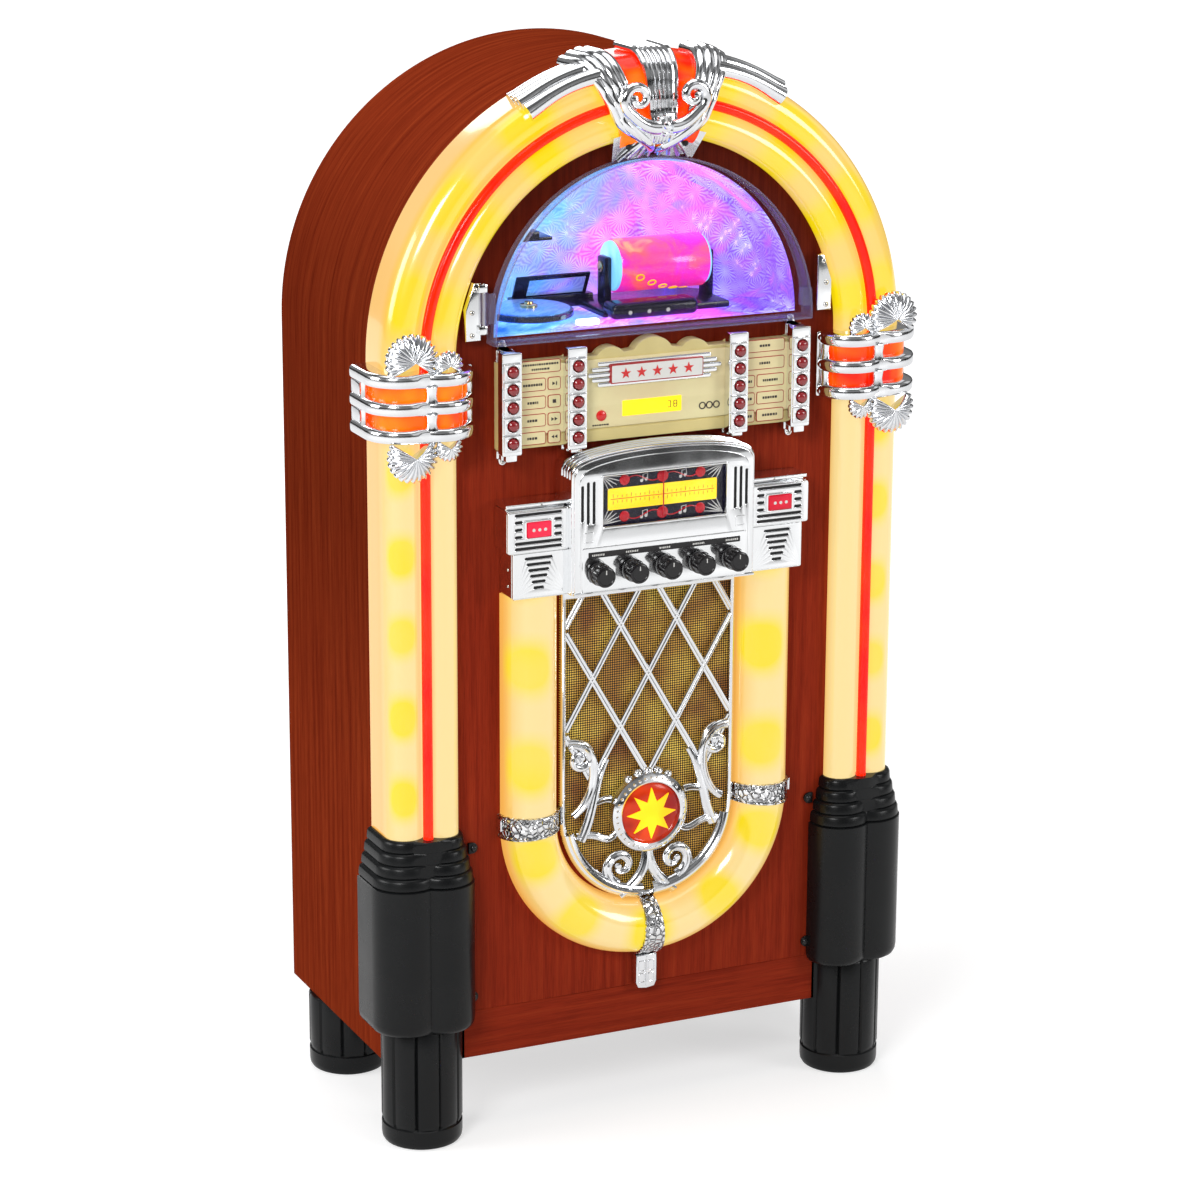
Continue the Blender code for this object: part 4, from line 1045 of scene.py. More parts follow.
def make_crown():
    """The ornament at the arch's top: a ribbed strap, arms, tails, scrolls and a rosette."""
    crown = Piece("crown_casting")
    steps = 44
    for k in range(-3, 4):
        edge = abs(k) == 3
        rib, sizes = [], []
        for i in range(steps + 1):
            t = i / steps
            rib.append(over_arch(90 - k * (0.92 + 0.22 * t), 0.14 + 0.84 * t, 0.0112 if edge else 0.0104))
            sizes.append((0.0021 + 0.0006 * t) * (1.35 if edge else 0.9))
        crown.rod(rib, sizes, M_CAST, 8)
    sheet = []
    for i in range(steps + 1):
        t = i / steps
        reach, share = 3.2 * (0.92 + 0.22 * t), 0.14 + 0.84 * t
        corners = ((-reach, 0.0085), (reach, 0.0085), (reach, 0.0108), (0, 0.0112), (-reach, 0.0108))
        sheet.append([over_arch(90 + off, share, grow) for off, grow in corners])
    crown.loft(sheet, M_CAST)
    for side in (-1, 1):
        for k, (lift, size) in enumerate(
            ((0.0096, 0.0062), (0.0108, 0.0066), (0.0102, 0.0064), (0.0088, 0.0056))
        ):
            points, sizes = [], []
            for i in range(49):
                t = i / 48
                waist, top = 6.9 + 1.15 * k, 10.4 + 1.75 * k
                spread = 1.6 + (waist - 1.6) * smooth_step(min(1, t / 0.30)) + (top - waist) * smooth_step(t)
                points.append(over_arch(90 - side * spread, 0.07 + 0.86 * t, lift))
                sizes.append(size * (0.74 + 0.44 * t - 0.30 * max(0.0, t - 0.85)))
            crown.rod(points, sizes, M_CAST, 12)
        for k in range(4):
            tail, sizes = [], []
            for i in range(17):
                t = i / 16
                angle = 90 - side * (12.0 + 1.8 * k + (17.5 - 1.8 * k) * t)
                r = (
                    0.2680 if k == 0 else 0.2755
                ) + 0.0016 * math.sin(math.pi * min(1.0, t * 1.15)) - 0.002 * t
                a = math.radians(angle)
                tail.append((r * math.cos(a), -0.0175 + 0.0095 * k + 0.003 * t, ARCH_Z + r * math.sin(a)))
                sizes.append((0.0088 if k == 0 else 0.0072) - 0.0016 * math.sin(math.pi * t) + 0.0008 * t)
            crown.rod(tail, sizes, M_CAST, 14)
        cx, cz = side * 0.0285, ARCH_Z + 0.2410
        flat_curl = curl_path(cx, cz, 0.0158, 0.0036, 270 + side * 20, side * 430, 26, 0.85)
        curl = [(x, -0.0350 - 0.003 * (i / 26), z) for i, (x, z) in enumerate(flat_curl)]
        start = curl[0]
        stem = []
        for i in range(8):
            t = i / 8
            near, between, far = (1 - t) ** 2, 2 * t * (1 - t), t * t
            x = near * side * 0.006 + between * side * 0.020 + far * start[0]
            z = near * (ARCH_Z + 0.2130) + between * (ARCH_Z + 0.2120) + far * start[2]
            stem.append((x, start[1], z))
        sizes = [0.0070 - 0.0010 * i / 8 for i in range(8)] + [0.0060 - 0.0030 * i / 26 for i in range(27)]
        crown.rod(stem + curl, sizes, M_CAST, 14)
        crown.turned(
            [(0.0044, -0.004), (0.0044, 0), (0.0034, 0.0030), (0, 0.0044)],
            (curl[-1][0], -0.0350, curl[-1][2]), M_CAST,
        )
        wing = []
        for i in range(21):
            t = i / 20
            a = math.radians(90 - side * (0.6 + 12.6 * t))
            r_low, y_low = 0.1830 + 0.0014 * math.cos(t * 2.6 * math.pi), -0.0075
            r_high, y_high = 0.2110 - 0.002 * t, -0.0310 + 0.006 * t
            corners = ((r_low, -0.0003), (r_low, y_low), (r_high, y_high), (r_high, -0.0003))
            wing.append([(r * math.cos(a), y, ARCH_Z + r * math.sin(a)) for r, y in corners])
        crown.loft(wing, M_CAST)
        for k in range(4):
            foot, sizes = [], []
            for i in range(9):
                t = i / 8
                a = math.radians(90 - side * (1.0 + (0.8 + 3.2 * k) * t))
                r = 0.2110 - 0.0275 * t
                foot.append((r * math.cos(a), -0.0325 + 0.0240 * t, ARCH_Z + r * math.sin(a)))
                sizes.append(0.0030 - 0.0010 * t)
            crown.rod(foot, sizes, M_CAST, 8)
        a = math.radians(90 - side * 8.6)
        screw(crown, 0.1960 * math.cos(a), -0.0180, ARCH_Z + 0.1960 * math.sin(a), 0.0030, finish=M_DARK_GAP)
    rosette_y, rosette_z = -0.0345, ARCH_Z + 0.2150
    crown.block((-0.0115, rosette_y, ARCH_Z + 0.2040), (0.0115, -0.0240, ARCH_Z + 0.2260), M_CAST, 0.0022)
    boss = [(0.0085, -0.006), (0.0085, 0), (0.0070, 0.0032), (0.0038, 0.0046), (0.0030, 0.0064), (0, 0.0072)]
    crown.turned(boss, (0, rosette_y, rosette_z), M_CAST)
    for k in range(8):
        a = 2 * math.pi * k / 8
        spot = (0.0082 * math.cos(a), rosette_y, rosette_z + 0.0082 * math.sin(a))
        crown.turned([(0.0030, -0.004), (0.0030, 0), (0.0020, 0.0024), (0, 0.0032)], spot, M_CAST, steps=12)
    crown.done(["crown_bracket"], "chrome", angle=40)

    lens = Piece("crown_lens_sleeve")
    lens.loft([on_arch(tube_block(0.0072, -0.0238), 79.0 + 22 * i / 24) for i in range(25)], M_LENS)
    lens.done(["crown_lens"], "amber_lens")


# ---------------------------------------------------------------- display window
def make_window():
    """The clear half-round window with its hinge, and the plate at its other side."""
    door = Piece("window_cover")
    low = WINDOW_Z
    outer, inner = half_disc(WINDOW_R, low), half_disc(WINDOW_R - 0.0025, low, 0.0025)
    door.plate(outer, -WINDOW_OUT, -WINDOW_OUT + 0.0025, M_CLEAR, (), 0.0008)
    ring_y = (-WINDOW_OUT + 0.0027, -0.0015)
    door.plate(outer, ring_y[0], ring_y[1], M_CLEAR_EDGE, [inner])
    rim = [(x, -WINDOW_OUT + 0.0004, z) for x, z in half_disc(WINDOW_R - 0.0012, low + 0.0008, 0.0)]
    door.rod(rim, 0.0009, M_CLEAR_EDGE, 6, closed=True)
    hinge_x, hinge_y = -0.1735, -0.0125
    knuckle = [(0.0023, -0.015), (0.0042, -0.015), (0.0042, 0.015), (0.0023, 0.015)]
    door.turned(knuckle + [(0.0023, -0.015)], (hinge_x, hinge_y, 0.829), M_CLEAR_EDGE, (0, 0, 1), 28)
    door.block(
        (hinge_x + 0.0035, hinge_y - 0.0036, 0.8145), (-0.1625, hinge_y - 0.0006, 0.8435), M_CLEAR_EDGE,
        0.0006,
    )
    door.block((0.1560, -0.0200, low + 0.012), (0.1668, -0.0100, low + 0.030), M_CLEAR_EDGE, 0.0015)
    door.done(["window_door"], "clear_acrylic", "window_door")

    hinge = Piece("window_hinge_plate")
    leaf = [(-0.1760, 0.799), (-0.1760, 0.8535), (-0.1830, 0.8535), (-0.1915, 0.8285), (-0.1915, 0.799)]
    hinge.plate(leaf, -0.0120, -0.0003, M_CHROME, (), 0.0012)
    hinge.turned(
        [(0.0019, -0.024), (0.0019, 0.024), (0, 0.0246)], (hinge_x, hinge_y, 0.829), M_CHROME, (0, 0, 1), 16,
    )
    for z in (0.8052, 0.8447):
        hinge.block((-0.1795, hinge_y - 0.003, z), (hinge_x + 0.0025, -0.0040, z + 0.0081), M_CHROME, 0.0008)
    catch = Piece("window_catch_plate")
    catch.plate([(-x, z) for x, z in leaf], -0.0120, -0.0003, M_CHROME, (), 0.0012)
    for piece, side in ((hinge, -1), (catch, 1)):
        for z in (0.8045, 0.826, 0.8475):
            screw(piece, side * (0.1822 + (0.003 if z < 0.83 else 0.0)), -0.0120, z, 0.0024)
    hinge.done(["window_hinge"], "chrome")
    catch.done((), "chrome")


def make_niche():
    """The foil-lined display with a record deck, a lit drum in its cradle and a lamp."""
    shell = Piece("display_liner")
    outline = half_disc(NICHE_R, NICHE_Z)
    pocket = half_disc(NICHE_R - 0.002, NICHE_Z, 0.002)
    shell.plate(outline, 0.0006, NICHE_DEPTH - 0.002, M_FOIL, [pocket])
    shell.plate(outline, NICHE_DEPTH - 0.002, NICHE_DEPTH, M_FOIL)
    shell.block(
        (-NICHE_R + 0.004, 0.001, NICHE_Z + 0.0019), (NICHE_R - 0.004, NICHE_DEPTH - 0.002, TABLE_Z - 0.0003),
        M_TABLE,
    )
    shell.done(["display_niche"], "display_foil")
    fold = Piece("display_side_foil")
    low = TABLE_Z + 0.004
    near_face = [
        (0.0105, 0.1205, 0.951), (0.1200, 0.062, 0.898), (0.1530, 0.030, low),
        (0.080, 0.1205, TABLE_Z + 0.001),
    ]
    far_face = [
        (0.0105, 0.1215, 0.952), (0.1205, 0.064, 0.899), (0.1535, 0.032, low),
        (0.081, 0.1220, TABLE_Z + 0.001),
    ]
    fold.loft([near_face, far_face], M_FOIL)
    fold.done((), "display_foil")

    trim = Piece("display_lamp_shelf")
    trim.block((-0.1290, 0.030, 0.8800), (-0.0850, 0.075, 0.8835), M_GLOSS, 0.001)
    trim.block((-0.1310, 0.026, 0.8820), (-0.1000, 0.078, 0.8900), M_GLOSS, 0.001)
    tilt = Matrix.Translation((-0.057, 0.094, 0.823)) @ Matrix.Rotation(math.radians(28), 4, "X")
    trim.block((-0.040, -0.0015, -0.013), (0.038, 0.0015, 0.013), M_GLOSS, 0.0012, matrix=tilt)
    # the mirror shows the foil's pattern as a painted reflection
    trim.block((-0.026, -0.0022, -0.009), (0.033, -0.0014, 0.009), M_MIRROR, matrix=tilt)
    trim.block((-0.100, 0.092, TABLE_Z), (-0.014, 0.104, 0.813), M_GLOSS, 0.001)
    trim.done((), "black_plastic")

    spindle, rim = (-0.100, 0.052, TABLE_Z), 0.043
    deck = Piece("record_deck")
    platter = [
        (rim * 0.9, 0.0042), (rim * 0.97, 0.0048), (rim, 0.0060), (rim, 0.0100), (rim - 0.0012, 0.0110),
        (0.0, 0.0111)
    ]
    deck.turned(platter, spindle, M_DISC, (0, 0, 1), 96)
    disc = [
        (rim - 0.0035, 0.0108), (rim - 0.0035, 0.0120), (rim - 0.0045, 0.0124), (0.014, 0.0126), (0, 0.0126),
    ]
    deck.turned(disc, spindle, M_TABLE, (0, 0, 1), 96)
    hub = [
        (0.0085, 0.0120), (0.0085, 0.0150), (0.0060, 0.0158), (0.0045, 0.0160), (0.0040, 0.0178), (0, 0.0183),
    ]
    deck.turned(hub, spindle, M_BRASS, (0, 0, 1), 32)
    deck.turned([(0.0100, 0.0010), (0.0100, 0.0050), (0, 0.0050)], spindle, M_GLOSS, (0, 0, 1))
    deck.done(["disc_platter"], "black_plastic", "disc_platter")

    x, y, z, radius, length = 0.043, 0.072, 0.842, 0.026, 0.100
    drum = Piece("lit_drum")
    half = length / 2
    barrel = [
        (radius - 0.0012, -half + 0.003), (radius, -half + 0.0045), (radius, half - 0.0045),
        (radius - 0.0012, half - 0.003)
    ]
    drum.turned(barrel, (x, y, z), M_DRUM, (1, 0, 0), 64)
    for end in (-1, 1):
        cap = [
            (radius - 0.0012, half - 0.004), (radius - 0.0022, half - 0.0008),
            (radius - 0.0050, half - 0.0002), (0, half - 0.0001),
        ]
        drum.turned(cap, (x, y, z), M_DRUM_END, (end, 0, 0), 64)
    for k in range(5):
        a = math.radians(200 + 16 * k)
        spot = []
        for i in range(24):
            t = 2 * math.pi * i / 24
            turned = a + 0.12 * math.sin(t)
            along = x - 0.028 + 0.014 * k + 0.004 * math.cos(t)
            spot.append(
                (along, y + (radius + 0.0001) * math.cos(turned), z + (radius + 0.0001) * math.sin(turned))
            )
        drum.rod(spot, 0.0008, M_STAR, 6, closed=True)
    drum.done(["light_drum"], "drum_print", "light_drum", angle=40)

    stand = Piece("drum_cradle")
    stand.block((x - 0.075, 0.030, TABLE_Z), (x + 0.060, 0.110, TABLE_Z + 0.0070), M_GLOSS, 0.002)
    for end in (-1, 1):
        near = x + end * (half + 0.0006)
        low, high = sorted((near, near + end * 0.008))
        stand.block((low, y - 0.009, TABLE_Z + 0.004), (high, y + 0.009, z + 0.010), M_GLOSS, 0.0022)
        stand.turned(
            [(0.0055, 0), (0.0055, 0.0012), (0.0035, 0.002), (0, 0.0022)], (near + end * 0.008, y, z),
            M_BRASS, (end, 0, 0), 20,
        )
    stand.block((-0.030, 0.0125, TABLE_Z), (0.062, 0.040, TABLE_Z + 0.016), M_GLOSS, 0.0065, 5)
    for k in range(3):
        stand.turned(
            [(0.0022, 0), (0.0020, 0.0008), (0, 0.0009)], (-0.012 + 0.02 * k, 0.0127, TABLE_Z + 0.007),
            M_SCREW,
        )
    stand.block((0.030, 0.0115, TABLE_Z + 0.0062), (0.046, 0.0130, TABLE_Z + 0.0104), M_DARK_GAP, 0.0004)
    stand.done(["drum_stand"], "black_plastic")

    led = Piece("display_led")
    led.block((-0.0690, 0.0045, TABLE_Z), (-0.0470, 0.0135, TABLE_Z + 0.0055), M_LED, 0.0018, 3)
    led.done((), "display_foil")


# ---------------------------------------------------------------- keypad
def key_rows():
    return [KEY_TOP - KEY_PITCH * row for row in range(KEY_ROWS)]


def outline_box(piece, x0, z0, x1, z1, y, line=0.0007):
    """A label: a thin plaque with a red outline."""
    piece.plate(rounded(x0, z0, x1, z1, 0.0022), y - 0.0003, y + 0.0004, M_RED_LINE)
    piece.plate(rounded(x0 + line, z0 + line, x1 - line, z1 - line, 0.0016), y - 0.0005, y, M_LABEL)


def dashes(piece, x0, x1, z, y, height=0.0018, seed=1):
    """A row of small dark marks that stand for a caption without saying anything."""
    draw = random.Random(seed)
    x = x0
    while x < x1 - 0.001:
        wide = draw.uniform(0.0010, 0.0024)
        piece.block((x, y - 0.0002, z - height / 2), (min(x + wide, x1), y + 0.0002, z + height / 2), M_INK)
        x += wide + 0.0008


def symbol(piece, kind, x, z, y, size=0.0017):
    """Transport symbols: triangles, a square and bars."""
    if kind == "stop":
        piece.plate(
            [(x - size, z - size), (x + size, z - size), (x + size, z + size), (x - size, z + size)],
            y - 0.0002, y + 0.0002, M_INK,
        )
        return
    way = -1 if kind == "back" else 1
    for shift in ((-size, size) if kind in ("next", "back") else (-size * 0.4,)):
        tri = [
            (x + shift - way * size * 0.8, z - size), (x + shift + way * size * 0.8, z),
            (x + shift - way * size * 0.8, z + size),
        ]
        piece.plate(tri, y - 0.0002, y + 0.0002, M_INK)
    if kind == "play":
        piece.block((x + size, y - 0.0002, z - size), (x + size * 1.5, y + 0.0002, z + size), M_INK)


def make_keypad():
    """The cream panel with its labels, the plaque, four button strips and ten keys."""
    top, low = 0.7755, 0.6925
    rows = key_rows()
    holes = [circle(side * x, z, KEY_HOLE, 24) for side in (-1, 1) for x in KEY_X for z in rows]
    scallop_top = arc(0.044, top - 0.010, 0.0175, 35, 140, 16)
    other_top = [(-x, z) for x, z in reversed(scallop_top)]
    cloud = scallop_top + arc(0, top - 0.010, 0.0235, 32, 148, 24) + other_top
    panel = Piece("keypad_cover")
    outline = [
        (-0.1585, low), (0.1585, low), (0.1585, top), (0.070, top), *cloud, (-0.070, top), (-0.1585, top),
    ]
    panel.plate(outline, -PAD_OUT + 0.0016, -0.0003, M_CREAM, holes, 0.0010)
    face = rounded(-0.1560, low + 0.013, 0.1560, top - 0.0035, 0.001)
    panel.plate(face, -PAD_OUT, -PAD_OUT + 0.0020, M_LABEL, holes, 0.0005)
    panel.plate(
        rounded(-0.1572, low + 0.0004, 0.1572, low + 0.0116, 0.001), -PAD_OUT + 0.0008, -PAD_OUT + 0.0022,
        M_CREAM, (), 0.0005,
    )
    y = -PAD_OUT - 0.0001
    ink_y, half = y - 0.0006, 0.0062

    def label(x0, x1, row):
        outline_box(panel, x0, rows[row] - half, x1, rows[row] + half, y)

    label(-LABEL_FAR, -LABEL_NEAR, 0)
    dashes(panel, -0.1360, -0.1000, rows[0] + 0.0022, ink_y, 0.0018, 3)
    dashes(panel, -0.1270, -0.1090, rows[0] - 0.0024, ink_y, 0.0018, 4)
    for row, kind in zip((1, 2, 3, 4), ("play", "stop", "next", "back")):
        label(-LABEL_FAR, -0.1125, row)
        label(-0.1105, -LABEL_NEAR, row)
        span = 0.0100 if kind == "play" else 0.0056
        dashes(panel, -0.1258 - span, -0.1258 + span, rows[row], ink_y, 0.0022, 10 + row)
        symbol(panel, kind, -0.1038, rows[row], ink_y)
    for row in (0, 1):
        label(LABEL_NEAR, LABEL_FAR, row)
        dashes(panel, 0.1120, 0.1235, rows[row], ink_y, 0.0022, 20 + row)
    for row in (2, 3, 4):
        label(LABEL_NEAR, 0.1075, row)
        label(0.1095, LABEL_FAR, row)
        dashes(panel, 0.1160, 0.1330, rows[row], ink_y, 0.0022, 30 + row)
        dashes(panel, 0.1003, 0.1046, rows[row], ink_y, 0.0024, 40 + row)
    for k in range(5):
        z = 0.7475 + 0.0050 * k
        reach = 0.0700 - 0.0042 * abs(k - 2) ** 1.3
        bar = rounded(-reach, z - 0.0021, reach, z + 0.0021, 0.0018)
        bar_front = -PAD_OUT - 0.0022 - 0.0005 * (2 - abs(k - 2))
        panel.plate(bar, bar_front, -PAD_OUT + 0.0004, M_CHROME, (), 0.0008)
    panel.plate(
        rounded(-0.0475, 0.7480, 0.0500, 0.7668, 0.0016), -PAD_OUT - 0.0046, -PAD_OUT, M_RED_LINE, (), 0.0004,
    )
    panel.plate(rounded(-0.0462, 0.7493, 0.0487, 0.7655, 0.0010), -PAD_OUT - 0.0052, -PAD_OUT, M_WHITE)
    mark = -PAD_OUT - 0.0055
    for k in range(5):
        x = -0.032 + 0.0165 * k
        star = []
        for i in range(10):
            radius, a = (0.0056 if i % 2 else 0.0023), math.pi * i / 5
            star.append((x + radius * math.sin(a), 0.7573 - radius * math.cos(a)))
        panel.plate(star, mark, mark + 0.0010, M_RED_DOT)
    panel.plate(rounded(-0.0330, 0.7150, 0.0290, 0.7300, 0.0006), y - 0.0004, y + 0.0004, M_LCD)
    for x in (0.0160, 0.0225):
        for dz in (-0.0030, 0.0, 0.0030):
            if x > 0.02 or dz != 0.0:
                panel.block(
                    (x - 0.0014, y - 0.0007, 0.7225 + dz - 0.0003),
                    (x + 0.0014, y - 0.0003, 0.7225 + dz + 0.0003), M_INK,
                )
    for x in (0.0241, 0.0209, 0.0176):
        panel.block((x - 0.0003, y - 0.0007, 0.7195), (x + 0.0003, y - 0.0003, 0.7255), M_INK)
    panel.turned(
        [(0.0052, 0), (0.0050, 0.0010), (0.0036, 0.0018), (0, 0.0021)], (-0.0550, -PAD_OUT, 0.7175),
        M_RED_DOT,
    )
    dashes(panel, -0.0640, -0.0465, 0.7085, y - 0.0002, 0.0013, 51)
    for k in range(3):
        x = 0.0515 + 0.0075 * k
        panel.plate(
            circle(x, 0.7175, 0.0036, 24), y - 0.0004, y + 0.0003, M_INK, [circle(x, 0.7175, 0.0026, 24)],
        )
    panel.done(["keypad_panel"], "cream_plastic")

    nodes = {-1: ("button_strip_1", "button_strip_2"), 1: ("button_strip_4", "button_strip_3")}
    for side, pair in nodes.items():
        for node_name, x in zip(pair, KEY_X):
            make_strip(node_name, side * x, x > 0.1, rows, low, top)
    for side, word in ((-1, "left"), (1, "right")):
        for row, z in enumerate(rows):
            key = Piece(f"song_key_{word}_{row + 1}")
            inner, outer = sorted((side * KEY_X[1], side * KEY_X[0]))
            key.block(
                (inner - 0.004, -0.0135, z - 0.0026), (outer + 0.004, -0.0105, z + 0.0026), M_KEY, 0.0006,
            )
            for x in KEY_X:
                cap = [
                    (0.0050, -0.0005), (0.0050, 0.0185), (0.0047, 0.0200), (0.0038, 0.0209), (0.0022, 0.0214),
                    (0, 0.0216),
                ]
                key.turned(cap, (side * x, -0.0119, z), M_KEY, steps=28)
            key.done([f"key_{word}_{row + 1}"], "red_keys", f"key_{word}_{row + 1}")


def make_strip(node_name, x, outer, rows, low, top):
    """A chrome strip of five square tiles round the key caps, on a stepped foot that is screwed down."""
    strip = Piece(node_name + "_bar")
    holes = [circle(x, z, KEY_HOLE, 28) for z in rows]
    z0, z1 = low - 0.0025, top + 0.0125
    strip.plate(
        rounded(x - 0.0100, z0, x + 0.0100, z1, 0.0018), -STRIP_OUT + 0.0024, -PAD_OUT - 0.0003, M_CHROME,
        holes, 0.0008,
    )
    for z in rows:
        tile = rounded(x - 0.0091, z - KEY_PITCH / 2 + 0.0006, x + 0.0088, z + KEY_PITCH / 2 - 0.0006, 0.0010)
        strip.plate(
            tile, -STRIP_OUT + 0.0002, -STRIP_OUT + 0.0034, M_CHROME, [circle(x, z, KEY_HOLE, 28)], 0.0006,
        )
        collar = circle(x, z, 0.0072)
        strip.plate(collar, -STRIP_OUT, -STRIP_OUT + 0.0012, M_CHROME, [circle(x, z, 0.0060, 28)], 0.0004)
    feet = [(low - 0.0063, low - 0.0004)]
    if outer:
        feet = [(low - 0.0088, low - 0.0004), (top + 0.0004, top + 0.0128)]
    for foot_low, foot_high in feet:
        for step in range(3):
            inset = 0.0014 * step
            tread = rounded(x - 0.0084 + inset, foot_low + 0.0002, x + 0.0084 - inset, foot_high, 0.0012)
            strip.plate(tread, -0.0258 + 0.0002 + 0.008 * (2 - step), -0.0004, M_CHROME, (), 0.0006)
    for z, way in ((low - 0.0088, -1), (top + 0.0128, 1)) if outer else ():
        ear = [(x - 0.0048, z), (x + 0.0048, z), *arc(x, z + way * 0.0040, 0.0038, 0, way * 180, 14)]
        strip.plate(ear, -0.0040, -0.0004, M_CHROME, (), 0.0006)
        screw(strip, x, -0.0040, z + way * 0.0040, 0.0024)
    strip.done([node_name], "chrome")


# ---------------------------------------------------------------- tuner unit
def tuner_outline(inset, steps=64):
    half, low, shoulder, crown = 0.0965 - inset, 0.551 + inset, 0.664 - inset, 0.690 - inset
    turns = [math.pi * i / steps for i in range(steps + 1)]
    top = [(half * math.cos(a), shoulder + (crown - shoulder) * math.sin(a) ** 0.55) for a in turns]
    return [(-half, low), (half, low), *top]


def slot_hole(x, z, half_w, half_h):
    return rounded(x - half_w, z - half_h, x + half_w, z + half_h, min(half_w, half_h) * 0.95, 4)


def make_tuner():
    """The plated tuner unit with its wings, dial, knobs and two lit switches."""
    unit = Piece("tuner_casting")
    window = rounded(-DIAL_HALF, DIAL_LOW, DIAL_HALF, DIAL_HIGH, 0.0016)
    knob_holes = [circle((k - 2) * KNOB_PITCH, KNOB_Z, 0.0034, 20) for k in range(5)]
    vents = [
        slot_hole(side * (0.0745 + 0.0060 * k), 0.6405, 0.00135, 0.0205 - 0.0030 * (k == 2))
        for side in (-1, 1) for k in range(3)
    ]
    recess = rounded(-0.0725, 0.6075, 0.0725, 0.6755, 0.001)
    unit.plate(tuner_outline(0), -TUNER_OUT + 0.0030, -0.0003, M_CHROME, [recess, *knob_holes], 0.0016)
    unit.plate(
        tuner_outline(0.0022), -TUNER_OUT + 0.0012, -TUNER_OUT + 0.0052, M_CHROME,
        [window, *knob_holes, *vents], 0.0010,
    )
    unit.plate(
        tuner_outline(0.0075), -TUNER_OUT + 0.0003, -TUNER_OUT + 0.0030, M_CHROME,
        [window, *knob_holes, *vents], 0.0008,
    )
    for depth in (-0.036, -0.030, -0.024, -0.018):
        line = [(x, depth, z) for x, z in tuner_outline(-0.0001)[2:]]
        unit.rod(line, 0.0012, M_CHROME, 6)
    # dark blocks behind the vent slots: painted shade
    for side in (-1, 1):
        for k in range(3):
            x = side * (0.0745 + 0.0060 * k)
            unit.block(
                (x - 0.0016, -TUNER_OUT + 0.0024, 0.619), (x + 0.0016, -TUNER_OUT + 0.0034, 0.662),
                M_DARK_GAP,
            )
        x = side * 0.080
        frame_line = rounded(x - 0.0052, 0.6020, x + 0.0052, 0.6125, 0.001)
        opening = rounded(x - 0.0040, 0.6032, x + 0.0040, 0.6113, 0.0006)
        unit.plate(frame_line, -TUNER_OUT - 0.0002, -TUNER_OUT + 0.002, M_CHROME, [opening], 0.0003)
    ring = rounded(-DIAL_HALF - 0.0026, DIAL_LOW - 0.0026, DIAL_HALF + 0.0026, DIAL_HIGH + 0.0026, 0.003)
    unit.plate(ring, -TUNER_OUT, -TUNER_OUT + 0.0040, M_CHROME, [window], 0.0009)
    unit.plate(
        rounded(-0.0865, 0.5535, 0.0865, 0.5975, 0.002), -TUNER_OUT, -TUNER_OUT + 0.002, M_CHROME, knob_holes,
        0.0005,
    )
    unit.plate(
        rounded(-0.0805, 0.5868, 0.0800, 0.5925, 0.0008), -TUNER_OUT - 0.0003, -TUNER_OUT + 0.001, M_GLOSS,
    )
    for k in range(5):
        x = (k - 2) * KNOB_PITCH
        draw = random.Random(60 + k)
        left = x - 0.0062
        while left < x + 0.0056:
            wide = draw.uniform(0.0008, 0.0016)
            unit.block(
                (left, -TUNER_OUT - 0.0005, 0.5887), (left + wide, -TUNER_OUT - 0.0002, 0.5904), M_WHITE,
            )
            left += wide + 0.0007
        unit.turned(
            [(0.0098, -0.001), (0.0098, 0.0004), (0.0092, 0.0008), (0.0034, 0.0008)], (x, -TUNER_OUT, KNOB_Z),
            M_CHROME, steps=40,
        )
    for side in (-1, 1):
        make_wing(unit, side)
    unit.rod([(-0.0955, -0.0432, 0.5525), (0.0955, -0.0432, 0.5525)], 0.0013, M_CHROME, 8)
    unit.done(["tuner_housing"], "chrome")
    make_dial()
    make_knobs()
    for side, node_name in ((-1, "power_button"), (1, "light_button")):
        x = side * SWITCH_X
        switch = Piece(node_name + "_rocker")
        switch.plate(
            rounded(x - 0.0120, SWITCH_Z - 0.0070, x + 0.0120, SWITCH_Z + 0.0070, 0.0012), -0.0365, -0.0262,
            M_SWITCH, (), 0.0007,
        )
        for k in range(3):
            dot = circle(x - 0.006 + 0.006 * k, SWITCH_Z, 0.0016, 16)
            switch.plate(dot, -0.03655, -0.0362, M_WHITE)
        switch.done([node_name], "red_keys", node_name)


